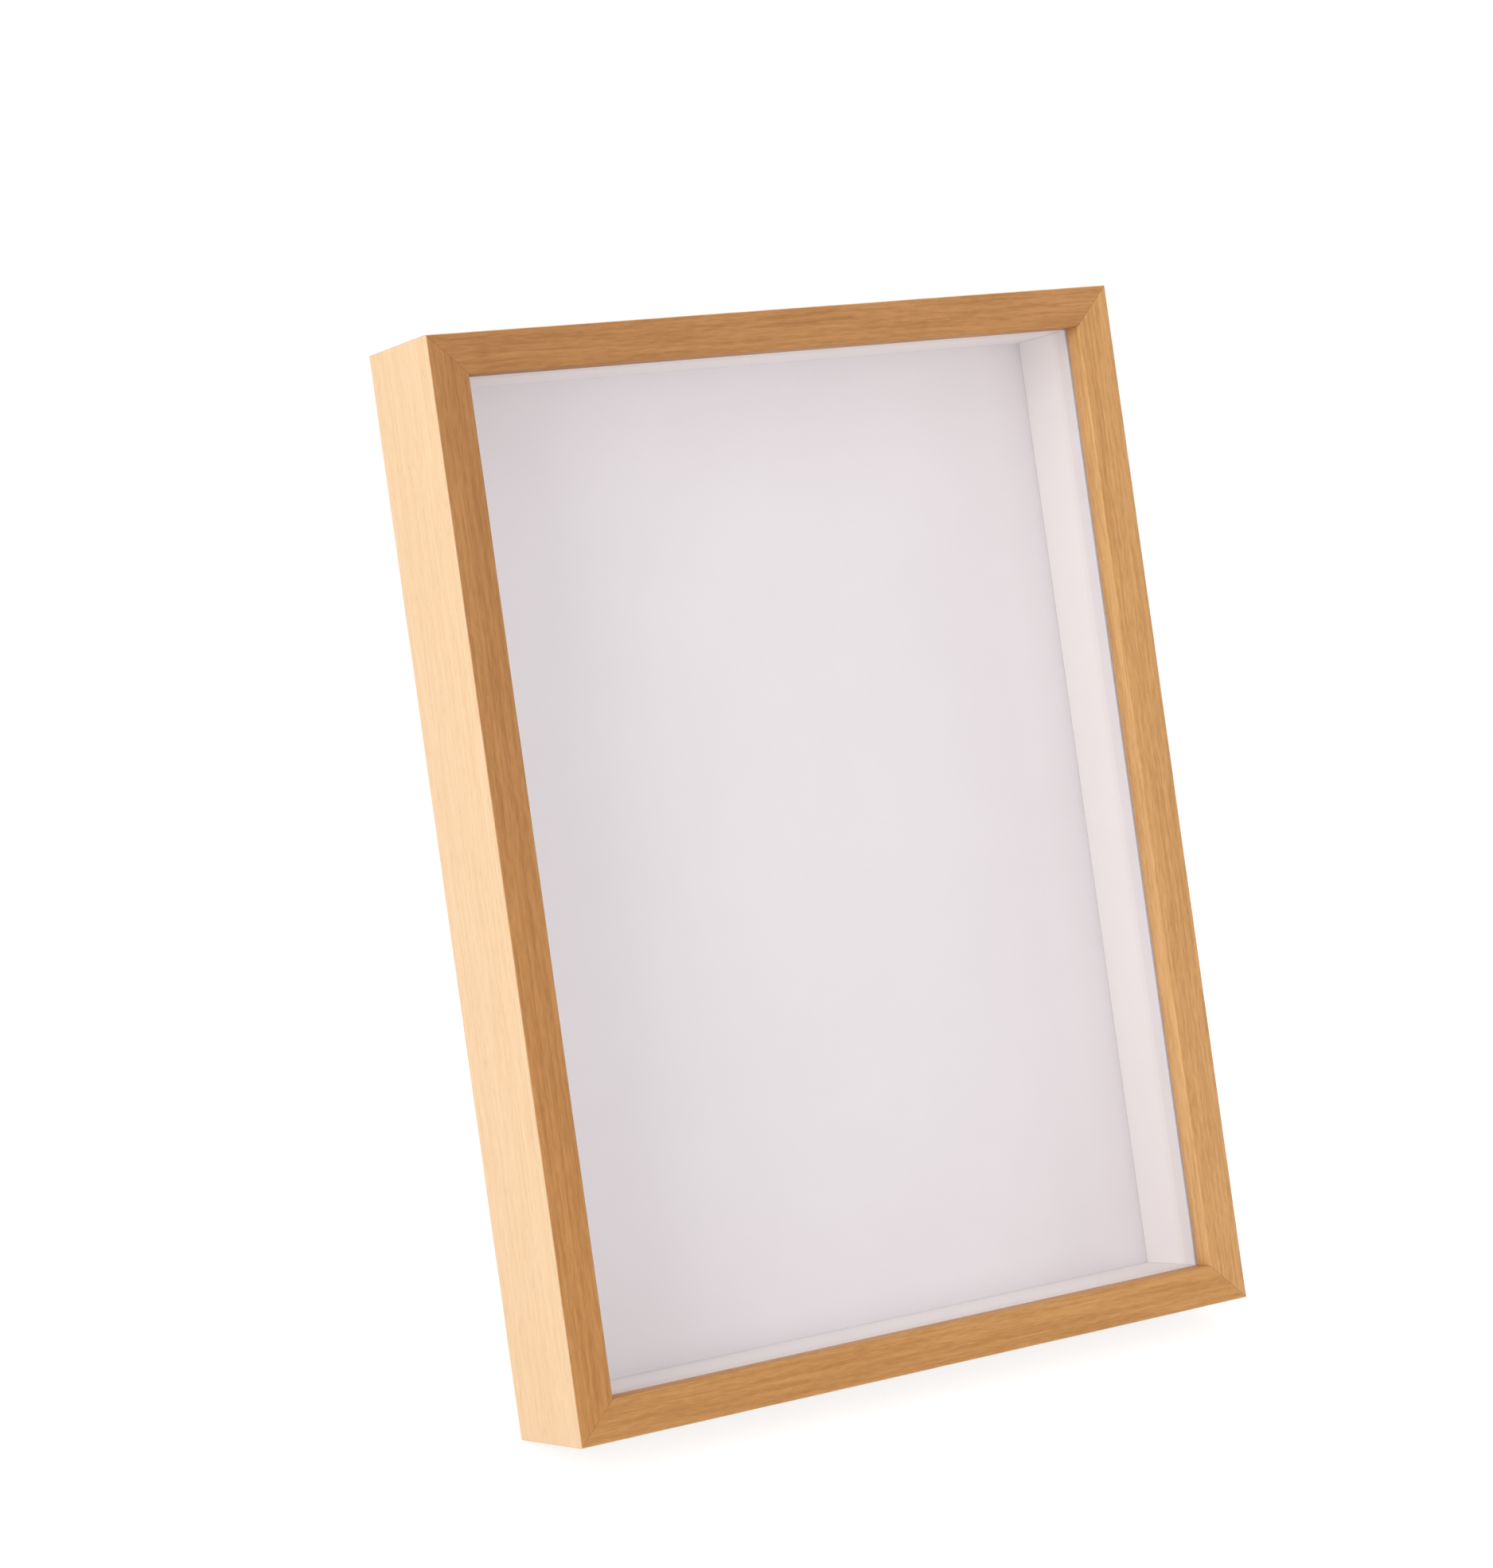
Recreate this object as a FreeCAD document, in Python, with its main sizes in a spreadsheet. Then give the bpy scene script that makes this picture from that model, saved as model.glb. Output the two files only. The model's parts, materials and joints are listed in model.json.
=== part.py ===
"""Shadow box frame that leans back on its open easel leg.

Every piece is drawn upright in the frame's own axes: X to the right as seen from the front, Y to the
rear with 0 at the rails' rear faces, Z up from the rails' undersides. The stance then leans the whole
frame back until its lower rear edge and the foot of the leg stand on Z = 0, with the origin below the
middle of the standing object.
"""

import FreeCAD
import Part
import math
import os
import re

import Sketcher
from FreeCAD import Vector

# Driving dimensions in millimetres and degrees: name, value, meaning
DIMENSIONS = (
    ("outer_width", 232, "frame, side to side"),
    ("outer_height", 313, "frame, bottom to top"),
    ("rail_depth", 38, "frame, front to rear"),
    ("face_width", 12, "front face of a rail"),
    ("lip_thickness", 6.6, "lip in front of the pane"),
    ("wall_thickness", 7, "rail behind the lip"),
    ("arris_radius", 0.6, "eased long edges of a rail"),
    ("lean_angle", 15.7, "frame behind the upright"),
    ("pane_thickness", 2, "glass"),
    ("pane_clearance", 0.4, "glass edge to rail"),
    ("pane_seam", 0.2, "ground edge of the glass"),
    ("spacer_thickness", 4.7, "white wall of the display well"),
    ("spacer_clearance", 0.2, "spacer to rail"),
    ("spacer_joint_gap", 0.05, "side spacer to end spacer"),
    ("board_thickness", 1.5, "display board"),
    ("back_thickness", 2.5, "hardboard back"),
    ("board_clearance", 0.4, "edges of both boards to rail"),
    ("back_bevel", 0.5, "eased rear edges of the back"),
    ("wedge_leg", 2.2, "arm of a corner wedge"),
    ("wedge_gauge", 0.4, "sheet of a corner wedge"),
    ("wedge_height", 10, "corner wedge along the rail depth"),
    ("wedge_margin", 0.8, "wood left beside a corner wedge"),
    ("button_radius", 3, "rounded ends of a turn button"),
    ("button_reach", 13, "turn button, screw to tip centre"),
    ("button_gauge", 1, "sheet of a turn button"),
    ("button_edge", 0.25, "rounded edge of a turn button"),
    ("seat_clearance", 0.1, "play of a turn button along its screw"),
    ("pivot_clearance", 0.08, "play of a turn button round its screw"),
    ("button_margin", 0.8, "turn button to the outer face of its rail"),
    ("side_button_inset", 75, "screw of a side rail to the rail end"),
    ("end_button_inset", 50, "screw of a top or bottom rail to the rail end"),
    ("screw_radius", 1.1, "shank of a turn button screw"),
    ("screw_bite", 12, "screw in the wood"),
    ("screw_point", 2, "tapered end of the screw"),
    ("screw_fit", 0.03, "screw to its pilot hole"),
    ("screw_head_radius", 2.5, "pan head"),
    ("screw_head_height", 1.6, "pan head"),
    ("screw_dome_radius", 1, "rounded rim of the pan head"),
    ("recess_arm", 1.2, "cross recess, middle to end of an arm"),
    ("recess_half_width", 0.25, "cross recess, half an arm's width"),
    ("recess_depth", 0.8, "cross recess"),
    ("hinge_height", 200, "hinge pin above the bottom of the frame"),
    ("open_angle", 30, "leg to frame when open"),
    ("hinge_width", 34, "both leaves of the leg hinge"),
    ("leaf_length", 18, "hinge pin to the end of a leaf"),
    ("leaf_corner_radius", 3, "rounded corners of a leaf"),
    ("fixed_leaf_gauge", 0.9, "sheet of the leaf on the back"),
    ("leg_leaf_gauge", 0.6, "sheet of the leaf on the leg"),
    ("pin_radius", 1, "hinge pin"),
    ("pin_fit", 0.02, "pin in the fixed knuckles"),
    ("pin_clearance", 0.06, "pin in the turning knuckle"),
    ("pin_head_radius", 1.5, "peened ends of the pin"),
    ("pin_head_height", 0.6, "peened ends of the pin"),
    ("pin_end_play", 0.1, "peened end to the fixed knuckle"),
    ("knuckle_width", 12, "turning knuckle"),
    ("knuckle_clearance", 0.3, "turning knuckle to the fixed leaf"),
    ("stop_length", 9, "stop tab above the pin"),
    ("stop_clearance", 0.05, "stop tab to the fixed leaf when open"),
    ("leg_thickness", 3, "easel leg"),
    ("leg_foot_width", 56, "easel leg at its foot"),
    ("leg_top_gap", 0.8, "top of the leg to the knuckles"),
    ("foot_corner_radius", 5, "rounded corners of the foot"),
    ("rivet_radius", 1.4, "shank of a rivet"),
    ("rivet_fit", 0.04, "rivet in its holes"),
    ("rivet_head_radius", 2.7, "domed head"),
    ("rivet_head_height", 0.9, "domed head"),
    ("rivet_dome_radius", 0.75, "rounded rim of the domed head"),
    ("rivet_tail_radius", 2.2, "closed end of a rivet"),
    ("rivet_tail_height", 0.6, "closed end of a rivet"),
    ("leaf_rivet_spacing", 20, "two rivets of a leaf"),
    ("leaf_rivet_inset", 6, "rivets to the end of a leaf"),
    ("hanger_spacing", 130, "two hanging rings"),
    ("hanger_drop", 60, "ring pivot below the top of the frame"),
    ("strap_gauge", 0.7, "sheet of a hanger strap"),
    ("strap_width", 10, "hanger strap"),
    ("strap_length", 18, "ring pivot to the end of the strap"),
    ("strap_corner_radius", 4, "rounded end of the strap"),
    ("strap_rivet_inset", 6, "rivet to the end of the strap"),
    ("ring_wire_radius", 1, "wire of a hanging ring"),
    ("ring_clearance", 0.08, "ring wire in its strap"),
    ("ring_bend_radius", 2.5, "three bends of a ring"),
    ("ring_bend_spacing", 15, "two upper bends, centre to centre"),
    ("ring_drop", 13.5, "ring pivot to the centre of the lowest bend"),
)

ALIASES = re.compile(r"\b(" + "|".join(name for name, *_ in DIMENSIONS) + r")\b")

# Derived sizes as expressions of the driving dimensions
PANE_FRONT = "(lip_thickness - rail_depth)"
SPACER_FRONT = f"({PANE_FRONT} + pane_thickness)"
BOARD_FRONT = "(-back_thickness - board_thickness)"
SPACER_SEAT = "(wall_thickness + spacer_clearance)"
SPACER_FACE = f"({SPACER_SEAT} + spacer_thickness)"
BOARD_EDGE = "(wall_thickness + board_clearance)"
OUTER_WEDGE = "(wedge_margin + wedge_leg)"
INNER_WEDGE = "(wall_thickness - wedge_margin)"
PIVOT_INSET = "(button_margin + button_radius)"
BUTTON_FRONT = "seat_clearance"
HEAD_SEAT = "(button_gauge + 2 * seat_clearance)"
FIXED_KNUCKLE = "(pin_radius + pin_fit + fixed_leaf_gauge)"
LEG_KNUCKLE = "(pin_radius + pin_clearance + leg_leaf_gauge)"
LEAF_RIVET_DROP = "(leaf_length - leaf_rivet_inset)"
LEG_INNER = "(leg_leaf_gauge / 2)"
LEG_OUTER = f"({LEG_INNER} + leg_thickness)"
STRAP_BARREL = "(ring_wire_radius + ring_clearance + strap_gauge)"
STRAP_RIVET_DROP = "(strap_length - strap_rivet_inset)"
HANGER_HEIGHT = "(outer_height - hanger_drop)"

# How the leaning frame and its leg reach the surface
SPLAY = "(open_angle - lean_angle)"
EDGE_LOSS = "(arris_radius * (sin(lean_angle) + cos(lean_angle) - 1))"
PIN_HEIGHT = f"(hinge_height * cos(lean_angle) - {FIXED_KNUCKLE} * sin(lean_angle) - {EDGE_LOSS})"
PIN_REACH = f"(hinge_height * sin(lean_angle) + {FIXED_KNUCKLE} * cos(lean_angle))"
FRONT_REACH = f"(rail_depth * cos(lean_angle) - {EDGE_LOSS})"
FOOT_REACH = f"({PIN_REACH} + {PIN_HEIGHT} * tan({SPLAY}) + {LEG_OUTER} / cos({SPLAY}))"

# Points of a sketch's lines, arcs and circles
START = 1
END = 2
CENTRE = 3

CUT_OVERRUN = "1"
EDGE_TOLERANCE = 1e-4
X_AXIS = Vector(1, 0, 0)
Y_AXIS = Vector(0, 1, 0)

document = FreeCAD.newDocument("shadow_box_frame")
sheet = document.addObject("Spreadsheet::Sheet", "Dims")
for row, (alias, number, meaning) in enumerate(DIMENSIONS, 1):
    sheet.set(f"A{row}", meaning)
    sheet.set(f"B{row}", str(number))
    sheet.setAlias(f"B{row}", alias)
stance = document.addObject("App::Placement", "Stance")
document.recompute()

nodes = []


def bound(expression):
    """The expression with each driving dimension named as its cell in the sheet."""
    return ALIASES.sub(r"Dims.\1", expression)


def value(expression):
    """The expression's present value as a number."""
    return float(stance.evalExpression(bound(expression)))


def at(x="0", y="0", z="0", axis="0; 1; 0", angle="0"):
    """Expression for a placement in the frame's own axes."""
    return f"placement(vector({x}; {y}; {z}); rotation(vector({axis}); {angle}))"


def keep(piece, place=at()):
    """Put a finished piece in its place in the leaning frame and list it as a node."""
    piece.setExpression("Placement", bound(f"Stance.Placement * {place}"))
    nodes.append(piece)


def new_body(label):
    """An empty body, which becomes one piece."""
    body = document.addObject("PartDesign::Body", label)
    body.Label = label
    return body


def sketch_on(body, role, name, offset="0", turn="0"):
    """A sketch on one of the body's origin planes, shifted along the plane's normal and turned in it."""
    plane = next(feature for feature in body.Origin.OriginFeatures if feature.Role == role)
    sketch = body.newObject("Sketcher::SketchObject", f"{body.Label}_{name}")
    sketch.AttachmentSupport = (plane, [""])
    sketch.MapMode = "FlatFace"
    sketch.setExpression("AttachmentOffset", bound(at(z=offset, axis="0; 0; 1", angle=turn)))
    return sketch


def front_view(body, name, y="0"):
    """A sketch seen from the front (X to the right, Z up), at depth y."""
    return sketch_on(body, "XZ_Plane", name, offset=f"-({y})")


def bind(sketch, constraint, expression):
    """Add a dimension to the sketch and bind it to the sheet."""
    index = sketch.addConstraint(constraint)
    sketch.setExpression(f"Constraints[{index}]", bound(expression))


def bind_point(sketch, geometry, point, x, y):
    """Hold a point of the sketch at x, y."""
    for axis, expression in (("DistanceX", x), ("DistanceY", y)):
        bind(sketch, Sketcher.Constraint(axis, -1, START, geometry, point, value(expression)), expression)


def polygon(sketch, corners):
    """A closed outline of straight lines through the corners."""
    spots = [Vector(value(x), value(y), 0) for x, y in corners]
    lines = [
        sketch.addGeometry(Part.LineSegment(spot, following))
        for spot, following in zip(spots, spots[1:] + spots[:1])
    ]
    for line, following in zip(lines, lines[1:] + lines[:1]):
        sketch.addConstraint(Sketcher.Constraint("Coincident", line, END, following, START))
    for line, (x, y) in zip(lines, corners):
        bind_point(sketch, line, START, x, y)


def quarter_turns(corners):
    """The corners of a quarter of an outline, repeated round the middle."""
    outline = []
    for _ in range(4):
        outline += corners
        corners = [(f"-({y})", x) for x, y in corners]
    return outline


def rectangle(sketch, left, bottom, right, top):
    """A closed outline with sides along the sketch's axes."""
    polygon(sketch, [(left, bottom), (right, bottom), (right, top), (left, top)])


def circle(sketch, x, y, radius):
    """A circle about x, y."""
    round_line = Part.Circle(Vector(value(x), value(y), 0), Vector(0, 0, 1), value(radius))
    geometry = sketch.addGeometry(round_line)
    bind_point(sketch, geometry, CENTRE, x, y)
    bind(sketch, Sketcher.Constraint("Radius", geometry, value(radius)), radius)


def belt(sketch, centres, radius):
    """A closed outline of equal arcs about the centres, listed anticlockwise, joined by tangents."""
    size = value(radius)
    spots = [Vector(value(x), value(y), 0) for x, y in centres]
    sides = [(following - spot).normalize() for spot, following in zip(spots, spots[1:] + spots[:1])]
    outward = [Vector(side.y, -side.x, 0) for side in sides]
    arcs = []
    lines = []
    for index, spot in enumerate(spots):
        begin = math.atan2(outward[index - 1].y, outward[index - 1].x)
        sweep = (math.atan2(outward[index].y, outward[index].x) - begin) % (2 * math.pi)
        bend = Part.ArcOfCircle(Part.Circle(spot, Vector(0, 0, 1), size), begin, begin + sweep)
        arcs.append(sketch.addGeometry(bend))
        following = spots[(index + 1) % len(spots)]
        shift = outward[index] * size
        lines.append(sketch.addGeometry(Part.LineSegment(spot + shift, following + shift)))
    for arc, line, following in zip(arcs, lines, arcs[1:] + arcs[:1]):
        sketch.addConstraint(Sketcher.Constraint("Tangent", arc, END, line, START))
        sketch.addConstraint(Sketcher.Constraint("Tangent", line, END, following, START))
    for arc in arcs[1:]:
        sketch.addConstraint(Sketcher.Constraint("Equal", arcs[0], arc))
    for arc, (x, y) in zip(arcs, centres):
        bind_point(sketch, arc, CENTRE, x, y)
    bind(sketch, Sketcher.Constraint("Radius", arcs[0], size), radius)


def pad(body, sketch, length, symmetric=False):
    """Thicken a sketch: to the rear from a front view, or to both sides."""
    feature = body.newObject("PartDesign::Pad", f"{sketch.Name}_pad")
    feature.Profile = sketch
    feature.Reversed = not symmetric
    feature.SideType = "Symmetric" if symmetric else "One side"
    feature.setExpression("Length", bound(length))
    document.recompute()


def pocket(body, sketch, depth=None):
    """Cut a sketch out of the body: to the rear by the depth, or right through both ways."""
    before = body.Tip.Shape.Volume
    feature = body.newObject("PartDesign::Pocket", f"{sketch.Name}_pocket")
    feature.Profile = sketch
    if depth is None:
        feature.Type = "ThroughAll"
        feature.SideType = "Symmetric"
    else:
        feature.setExpression("Length", bound(depth))
    document.recompute()
    if body.Tip.Shape.Volume > before * (1 - 1e-9):
        raise ValueError(f"{feature.Name} cuts nothing")


def turn(body, sketch, axis):
    """Turn a half section about one of the sketch's axes."""
    feature = body.newObject("PartDesign::Revolution", f"{sketch.Name}_turned")
    feature.Profile = sketch
    feature.ReferenceAxis = (sketch, [axis])
    feature.Angle = 360
    document.recompute()


def dress(body, kind, name, size_name, size, chosen):
    """Round or bevel the edges of the body that pass the test."""
    base = body.Tip
    edges = [f"Edge{number}" for number, edge in enumerate(base.Shape.Edges, 1) if chosen(edge)]
    if not edges:
        raise ValueError(f"{body.Label} has no edge for its {name}")
    feature = body.newObject(f"PartDesign::{kind}", f"{body.Label}_{name}")
    feature.Base = (base, edges)
    feature.setExpression(size_name, bound(size))
    document.recompute()


def runs(edge, axis):
    """True if the edge is straight along the axis."""
    way = edge.Vertexes[-1].Point - edge.Vertexes[0].Point
    return way.Length > EDGE_TOLERANCE and way.cross(axis).Length < EDGE_TOLERANCE


def lies(edge, **place):
    """True if all of the edge's ends have the given coordinates."""
    return all(
        abs(getattr(vertex.Point, axis) - value(expression)) < EDGE_TOLERANCE
        for vertex in edge.Vertexes
        for axis, expression in place.items()
    )


def copies(label, master, places):
    """One node with a separate solid of the master at each place."""
    links = []
    for number, place in enumerate(places, 1):
        link = document.addObject("App::Link", f"{label}_{number}")
        link.LinkedObject = master
        link.LinkTransform = False
        link.setExpression("LinkPlacement", bound(place))
        links.append(link)
    group = document.addObject("Part::Compound", label)
    group.Label = label
    group.Links = links
    keep(group)


class Side:
    """One side of the frame, drawn as the bottom side and then turned into its place."""

    def __init__(self, name, length, place, inset, left_end, right_end):
        self.name = name
        self.length = length
        self.place = place
        self.inset = inset
        self.ends = ((left_end, "-"), (right_end, "+"))

    def button_x(self, sign):
        """Where the screw of a turn button sits along the side."""
        return f"({sign}({self.length} / 2 - {self.inset}))"

    def button_place(self, sign):
        """Placement of a turn button and its screw."""
        return f"{self.place} * {at(self.button_x(sign), '0', PIVOT_INSET)}"


SIDES = (
    Side("bottom", "outer_width", at(), "end_button_inset", "left", "right"),
    Side("top", "outer_width", at(z="outer_height", angle="180"), "end_button_inset", "right", "left"),
    Side(
        "left",
        "outer_height",
        at("-outer_width / 2", "0", "outer_height / 2", angle="90"),
        "side_button_inset",
        "upper",
        "lower",
    ),
    Side(
        "right",
        "outer_height",
        at("outer_width / 2", "0", "outer_height / 2", angle="-90"),
        "side_button_inset",
        "lower",
        "upper",
    ),
)

HINGE_PLACE = at(y=FIXED_KNUCKLE, z="hinge_height")
LEG_PLACE = at(y=FIXED_KNUCKLE, z="hinge_height", axis="1; 0; 0", angle="open_angle")
LEAF_RIVET_X = ("-leaf_rivet_spacing / 2", "leaf_rivet_spacing / 2")
HANGERS = (("left", "-hanger_spacing / 2"), ("right", "hanger_spacing / 2"))


def set_stance():
    """Lean the frame back and stand it on its lower rear edge and the foot of its leg."""
    middle = f"(({FRONT_REACH} - {FOOT_REACH}) / 2)"
    place = at(y=middle, z=f"-{EDGE_LOSS}", axis="1; 0; 0", angle="-lean_angle")
    stance.setExpression("Placement", bound(place))
    document.recompute()


def make_rail(side):
    """A mitred rail with its lip, its rabbet, slots for the corner wedges and two pilot holes."""
    body = new_body(f"rail_{side.name}")
    half = f"{side.length} / 2"

    outline = front_view(body, "outline", "-rail_depth")
    corners = [(f"-{half}", "0"), (half, "0"), (f"{half} - face_width", "face_width")]
    polygon(outline, corners + [(f"-{half} + face_width", "face_width")])
    pad(body, outline, "rail_depth")

    rabbet = front_view(body, "rabbet", PANE_FRONT)
    rectangle(rabbet, f"-{half}", "wall_thickness", half, f"face_width + {CUT_OVERRUN}")
    pocket(body, rabbet, "rail_depth - lip_thickness")

    slots = front_view(body, "slots", "-wedge_height")
    for sign in ("-", "+"):
        for apex in (OUTER_WEDGE, INNER_WEDGE):
            middle = f"{sign}({half} - {apex})"
            left = f"{middle} - wedge_gauge / 2"
            right = f"{middle} + wedge_gauge / 2"
            rectangle(slots, left, f"{apex} - wedge_leg", right, f"{apex} + wedge_gauge / 2")
    pocket(body, slots, "wedge_height")

    pilots = front_view(body, "pilots", "-screw_bite")
    for _, sign in side.ends:
        circle(pilots, side.button_x(sign), PIVOT_INSET, "screw_radius + screw_fit")
    pocket(body, pilots, "screw_bite")

    def is_arris(edge):
        outer = lies(edge, y="-rail_depth", z="0") or lies(edge, y="0", z="0")
        return runs(edge, X_AXIS) and (outer or lies(edge, y="-rail_depth", z="face_width"))

    dress(body, "Fillet", "arris", "Radius", "arris_radius", is_arris)
    keep(body, side.place)


def make_corner_wedges():
    """Bent steel wedges across the mitres, flush with the rails' rear faces, two in each corner."""
    wedge = new_body("corner_wedge")
    outline = front_view(wedge, "outline", "-wedge_height")
    inside = "-wedge_gauge / 2"
    outside = "wedge_gauge / 2"
    tip = "-wedge_leg"
    ends = [(tip, inside), (inside, inside), (inside, tip)]
    polygon(outline, ends + [(outside, tip), (outside, outside), (tip, outside)])
    pad(wedge, outline, "wedge_height")

    places = []
    for apex in (OUTER_WEDGE, INNER_WEDGE):
        left = f"-outer_width / 2 + {apex}"
        right = f"outer_width / 2 - {apex}"
        top = f"outer_height - {apex}"
        places += [at(left, "0", apex), at(right, "0", apex, angle="-90")]
        places += [at(left, "0", top, angle="90"), at(right, "0", top, angle="180")]
    copies("corner_wedges", wedge, places)


def make_pane():
    """The glass behind the lip, with ground edges."""
    body = new_body("glass_pane")
    outline = front_view(body, "outline", PANE_FRONT)
    edge = "(wall_thickness + pane_clearance)"
    side = f"outer_width / 2 - {edge}"
    rectangle(outline, f"-({side})", edge, side, f"outer_height - {edge}")
    pad(body, outline, "pane_thickness")
    dress(body, "Chamfer", "seam", "Size", "pane_seam", lambda edge: True)
    keep(body)


def make_spacer(side):
    """A white wall of the display well, held between the pane and the display board."""
    body = new_body(f"spacer_{side.name}")
    inset = SPACER_SEAT if side.length == "outer_width" else f"({SPACER_FACE} + spacer_joint_gap)"
    half = f"{side.length} / 2 - {inset}"
    outline = front_view(body, "outline", SPACER_FRONT)
    rectangle(outline, f"-({half})", SPACER_SEAT, half, SPACER_FACE)
    pad(body, outline, f"{BOARD_FRONT} - {SPACER_FRONT}")
    keep(body, side.place)


def make_display_board():
    """The white board at the back of the display well."""
    board = document.addObject("Part::Box", "display_board")
    board.Label = "display_board"
    board.setExpression("Length", bound(f"outer_width - 2 * {BOARD_EDGE}"))
    board.setExpression("Width", bound("board_thickness"))
    board.setExpression("Height", bound(f"outer_height - 2 * {BOARD_EDGE}"))
    keep(board, at(f"-outer_width / 2 + {BOARD_EDGE}", BOARD_FRONT, BOARD_EDGE))


def board_rivet_spots():
    """Where rivets pass through the back, in X and Z."""
    hinge = [(x, f"hinge_height + {LEAF_RIVET_DROP}") for x in LEAF_RIVET_X]
    return hinge + [(x, f"{HANGER_HEIGHT} - {STRAP_RIVET_DROP}") for _, x in HANGERS]


def make_back():
    """The hardboard back, with rivet holes that are counterbored on the inside for the rivets' tails."""
    body = new_body("back_board")
    outline = front_view(body, "outline", "-back_thickness")
    side = f"outer_width / 2 - {BOARD_EDGE}"
    rectangle(outline, f"-({side})", BOARD_EDGE, side, f"outer_height - {BOARD_EDGE}")
    pad(body, outline, "back_thickness")
    dress(body, "Chamfer", "bevel", "Size", "back_bevel", lambda edge: lies(edge, y="0"))

    holes = front_view(body, "holes")
    tails = front_view(body, "tails", "-back_thickness")
    for x, z in board_rivet_spots():
        circle(holes, x, z, "rivet_radius + rivet_fit")
        circle(tails, x, z, "rivet_tail_radius + rivet_fit")
    pocket(body, holes)
    pocket(body, tails, "rivet_tail_height")
    keep(body)


def make_turn_button(side, end, sign):
    """A stamped strip that turns on its screw and holds the back in."""
    body = new_body(f"turn_button_{side.name}_{end}")
    outline = front_view(body, "outline", BUTTON_FRONT)
    belt(outline, [("0", "0"), ("0", "button_reach")], "button_radius")
    pad(body, outline, "button_gauge")
    rear = f"{BUTTON_FRONT} + button_gauge"
    dress(body, "Fillet", "edge", "Radius", "button_edge", lambda edge: lies(edge, y=rear))
    hole = front_view(body, "hole")
    circle(hole, "0", "0", "screw_radius + pivot_clearance")
    pocket(body, hole)
    keep(body, side.button_place(sign))


def make_button_screws():
    """Pan head screws with a cross recess, one for each turn button."""
    screw = new_body("button_screw")
    section = sketch_on(screw, "XY_Plane", "section")
    crown = f"{HEAD_SEAT} + screw_head_height"
    shank = [("0", "-screw_bite"), ("screw_radius", "-screw_bite + screw_point"), ("screw_radius", HEAD_SEAT)]
    head = [("screw_head_radius", HEAD_SEAT), ("screw_head_radius", crown), ("0", crown)]
    polygon(section, shank + head)
    turn(screw, section, "V_Axis")
    dress(screw, "Fillet", "dome", "Radius", "screw_dome_radius", lambda edge: lies(edge, y=crown))

    recess = front_view(screw, "recess", f"{crown} - recess_depth")
    arm = [("recess_arm", "-recess_half_width"), ("recess_arm", "recess_half_width")]
    corners = arm + [("recess_half_width", "recess_half_width")]
    polygon(recess, quarter_turns(corners))
    pocket(screw, recess, "recess_depth")

    places = [side.button_place(sign) for side in SIDES for _, sign in side.ends]
    copies("turn_button_screws", screw, places)


def make_fixed_leaf():
    """The hinge leaf on the back, curled round the pin at both ends of the hinge."""
    body = new_body("hinge_leaf_back")
    plate = front_view(body, "plate", f"-{FIXED_KNUCKLE}")
    rectangle(plate, "-hinge_width / 2", "0", "hinge_width / 2", "leaf_length")
    pad(body, plate, "fixed_leaf_gauge")

    def is_corner(edge):
        return runs(edge, Y_AXIS) and lies(edge, z="leaf_length")

    dress(body, "Fillet", "corners", "Radius", "leaf_corner_radius", is_corner)
    curl = sketch_on(body, "YZ_Plane", "curl")
    circle(curl, "0", "0", FIXED_KNUCKLE)
    pad(body, curl, "hinge_width", symmetric=True)

    bore = sketch_on(body, "YZ_Plane", "bore")
    circle(bore, "0", "0", "pin_radius + pin_fit")
    pocket(body, bore)
    gap = front_view(body, "gap")
    half = "knuckle_width / 2 + knuckle_clearance"
    low = f"-{FIXED_KNUCKLE} - {CUT_OVERRUN}"
    rectangle(gap, f"-({half})", low, half, f"{FIXED_KNUCKLE} + knuckle_clearance")
    pocket(body, gap)
    holes = front_view(body, "holes")
    for x in LEAF_RIVET_X:
        circle(holes, x, LEAF_RIVET_DROP, "rivet_radius + rivet_fit")
    pocket(body, holes)
    keep(body, HINGE_PLACE)


def make_leg_leaf():
    """The hinge leaf on the leg, with the knuckle that turns and the stop tab that rests on the other leaf."""
    body = new_body("hinge_leaf_leg")
    plate = front_view(body, "plate", "-leg_leaf_gauge / 2")
    shoulder = f"-{FIXED_KNUCKLE} - knuckle_clearance"
    wide = "hinge_width / 2"
    neck = "knuckle_width / 2"
    right = [(wide, "-leaf_length"), (wide, shoulder), (neck, shoulder), (neck, "0")]
    left = [(f"-{x}", z) for x, z in reversed(right)]
    polygon(plate, right + left)
    pad(body, plate, "leg_leaf_gauge")

    def is_corner(edge):
        return runs(edge, Y_AXIS) and lies(edge, z="-leaf_length")

    dress(body, "Fillet", "corners", "Radius", "leaf_corner_radius", is_corner)
    curl = sketch_on(body, "YZ_Plane", "curl")
    circle(curl, "0", "0", LEG_KNUCKLE)
    pad(body, curl, "knuckle_width", symmetric=True)
    stop = sketch_on(body, "YZ_Plane", "stop", turn="-open_angle")
    rest = f"fixed_leaf_gauge + stop_clearance - {FIXED_KNUCKLE}"
    rectangle(stop, rest, "0", f"{rest} + leg_leaf_gauge", "stop_length")
    pad(body, stop, "knuckle_width", symmetric=True)

    bore = sketch_on(body, "YZ_Plane", "bore")
    circle(bore, "0", "0", "pin_radius + pin_clearance")
    pocket(body, bore)
    holes = front_view(body, "holes")
    for x in LEAF_RIVET_X:
        circle(holes, x, f"-{LEAF_RIVET_DROP}", "rivet_radius + rivet_fit")
    pocket(body, holes)
    keep(body, LEG_PLACE)


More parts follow.
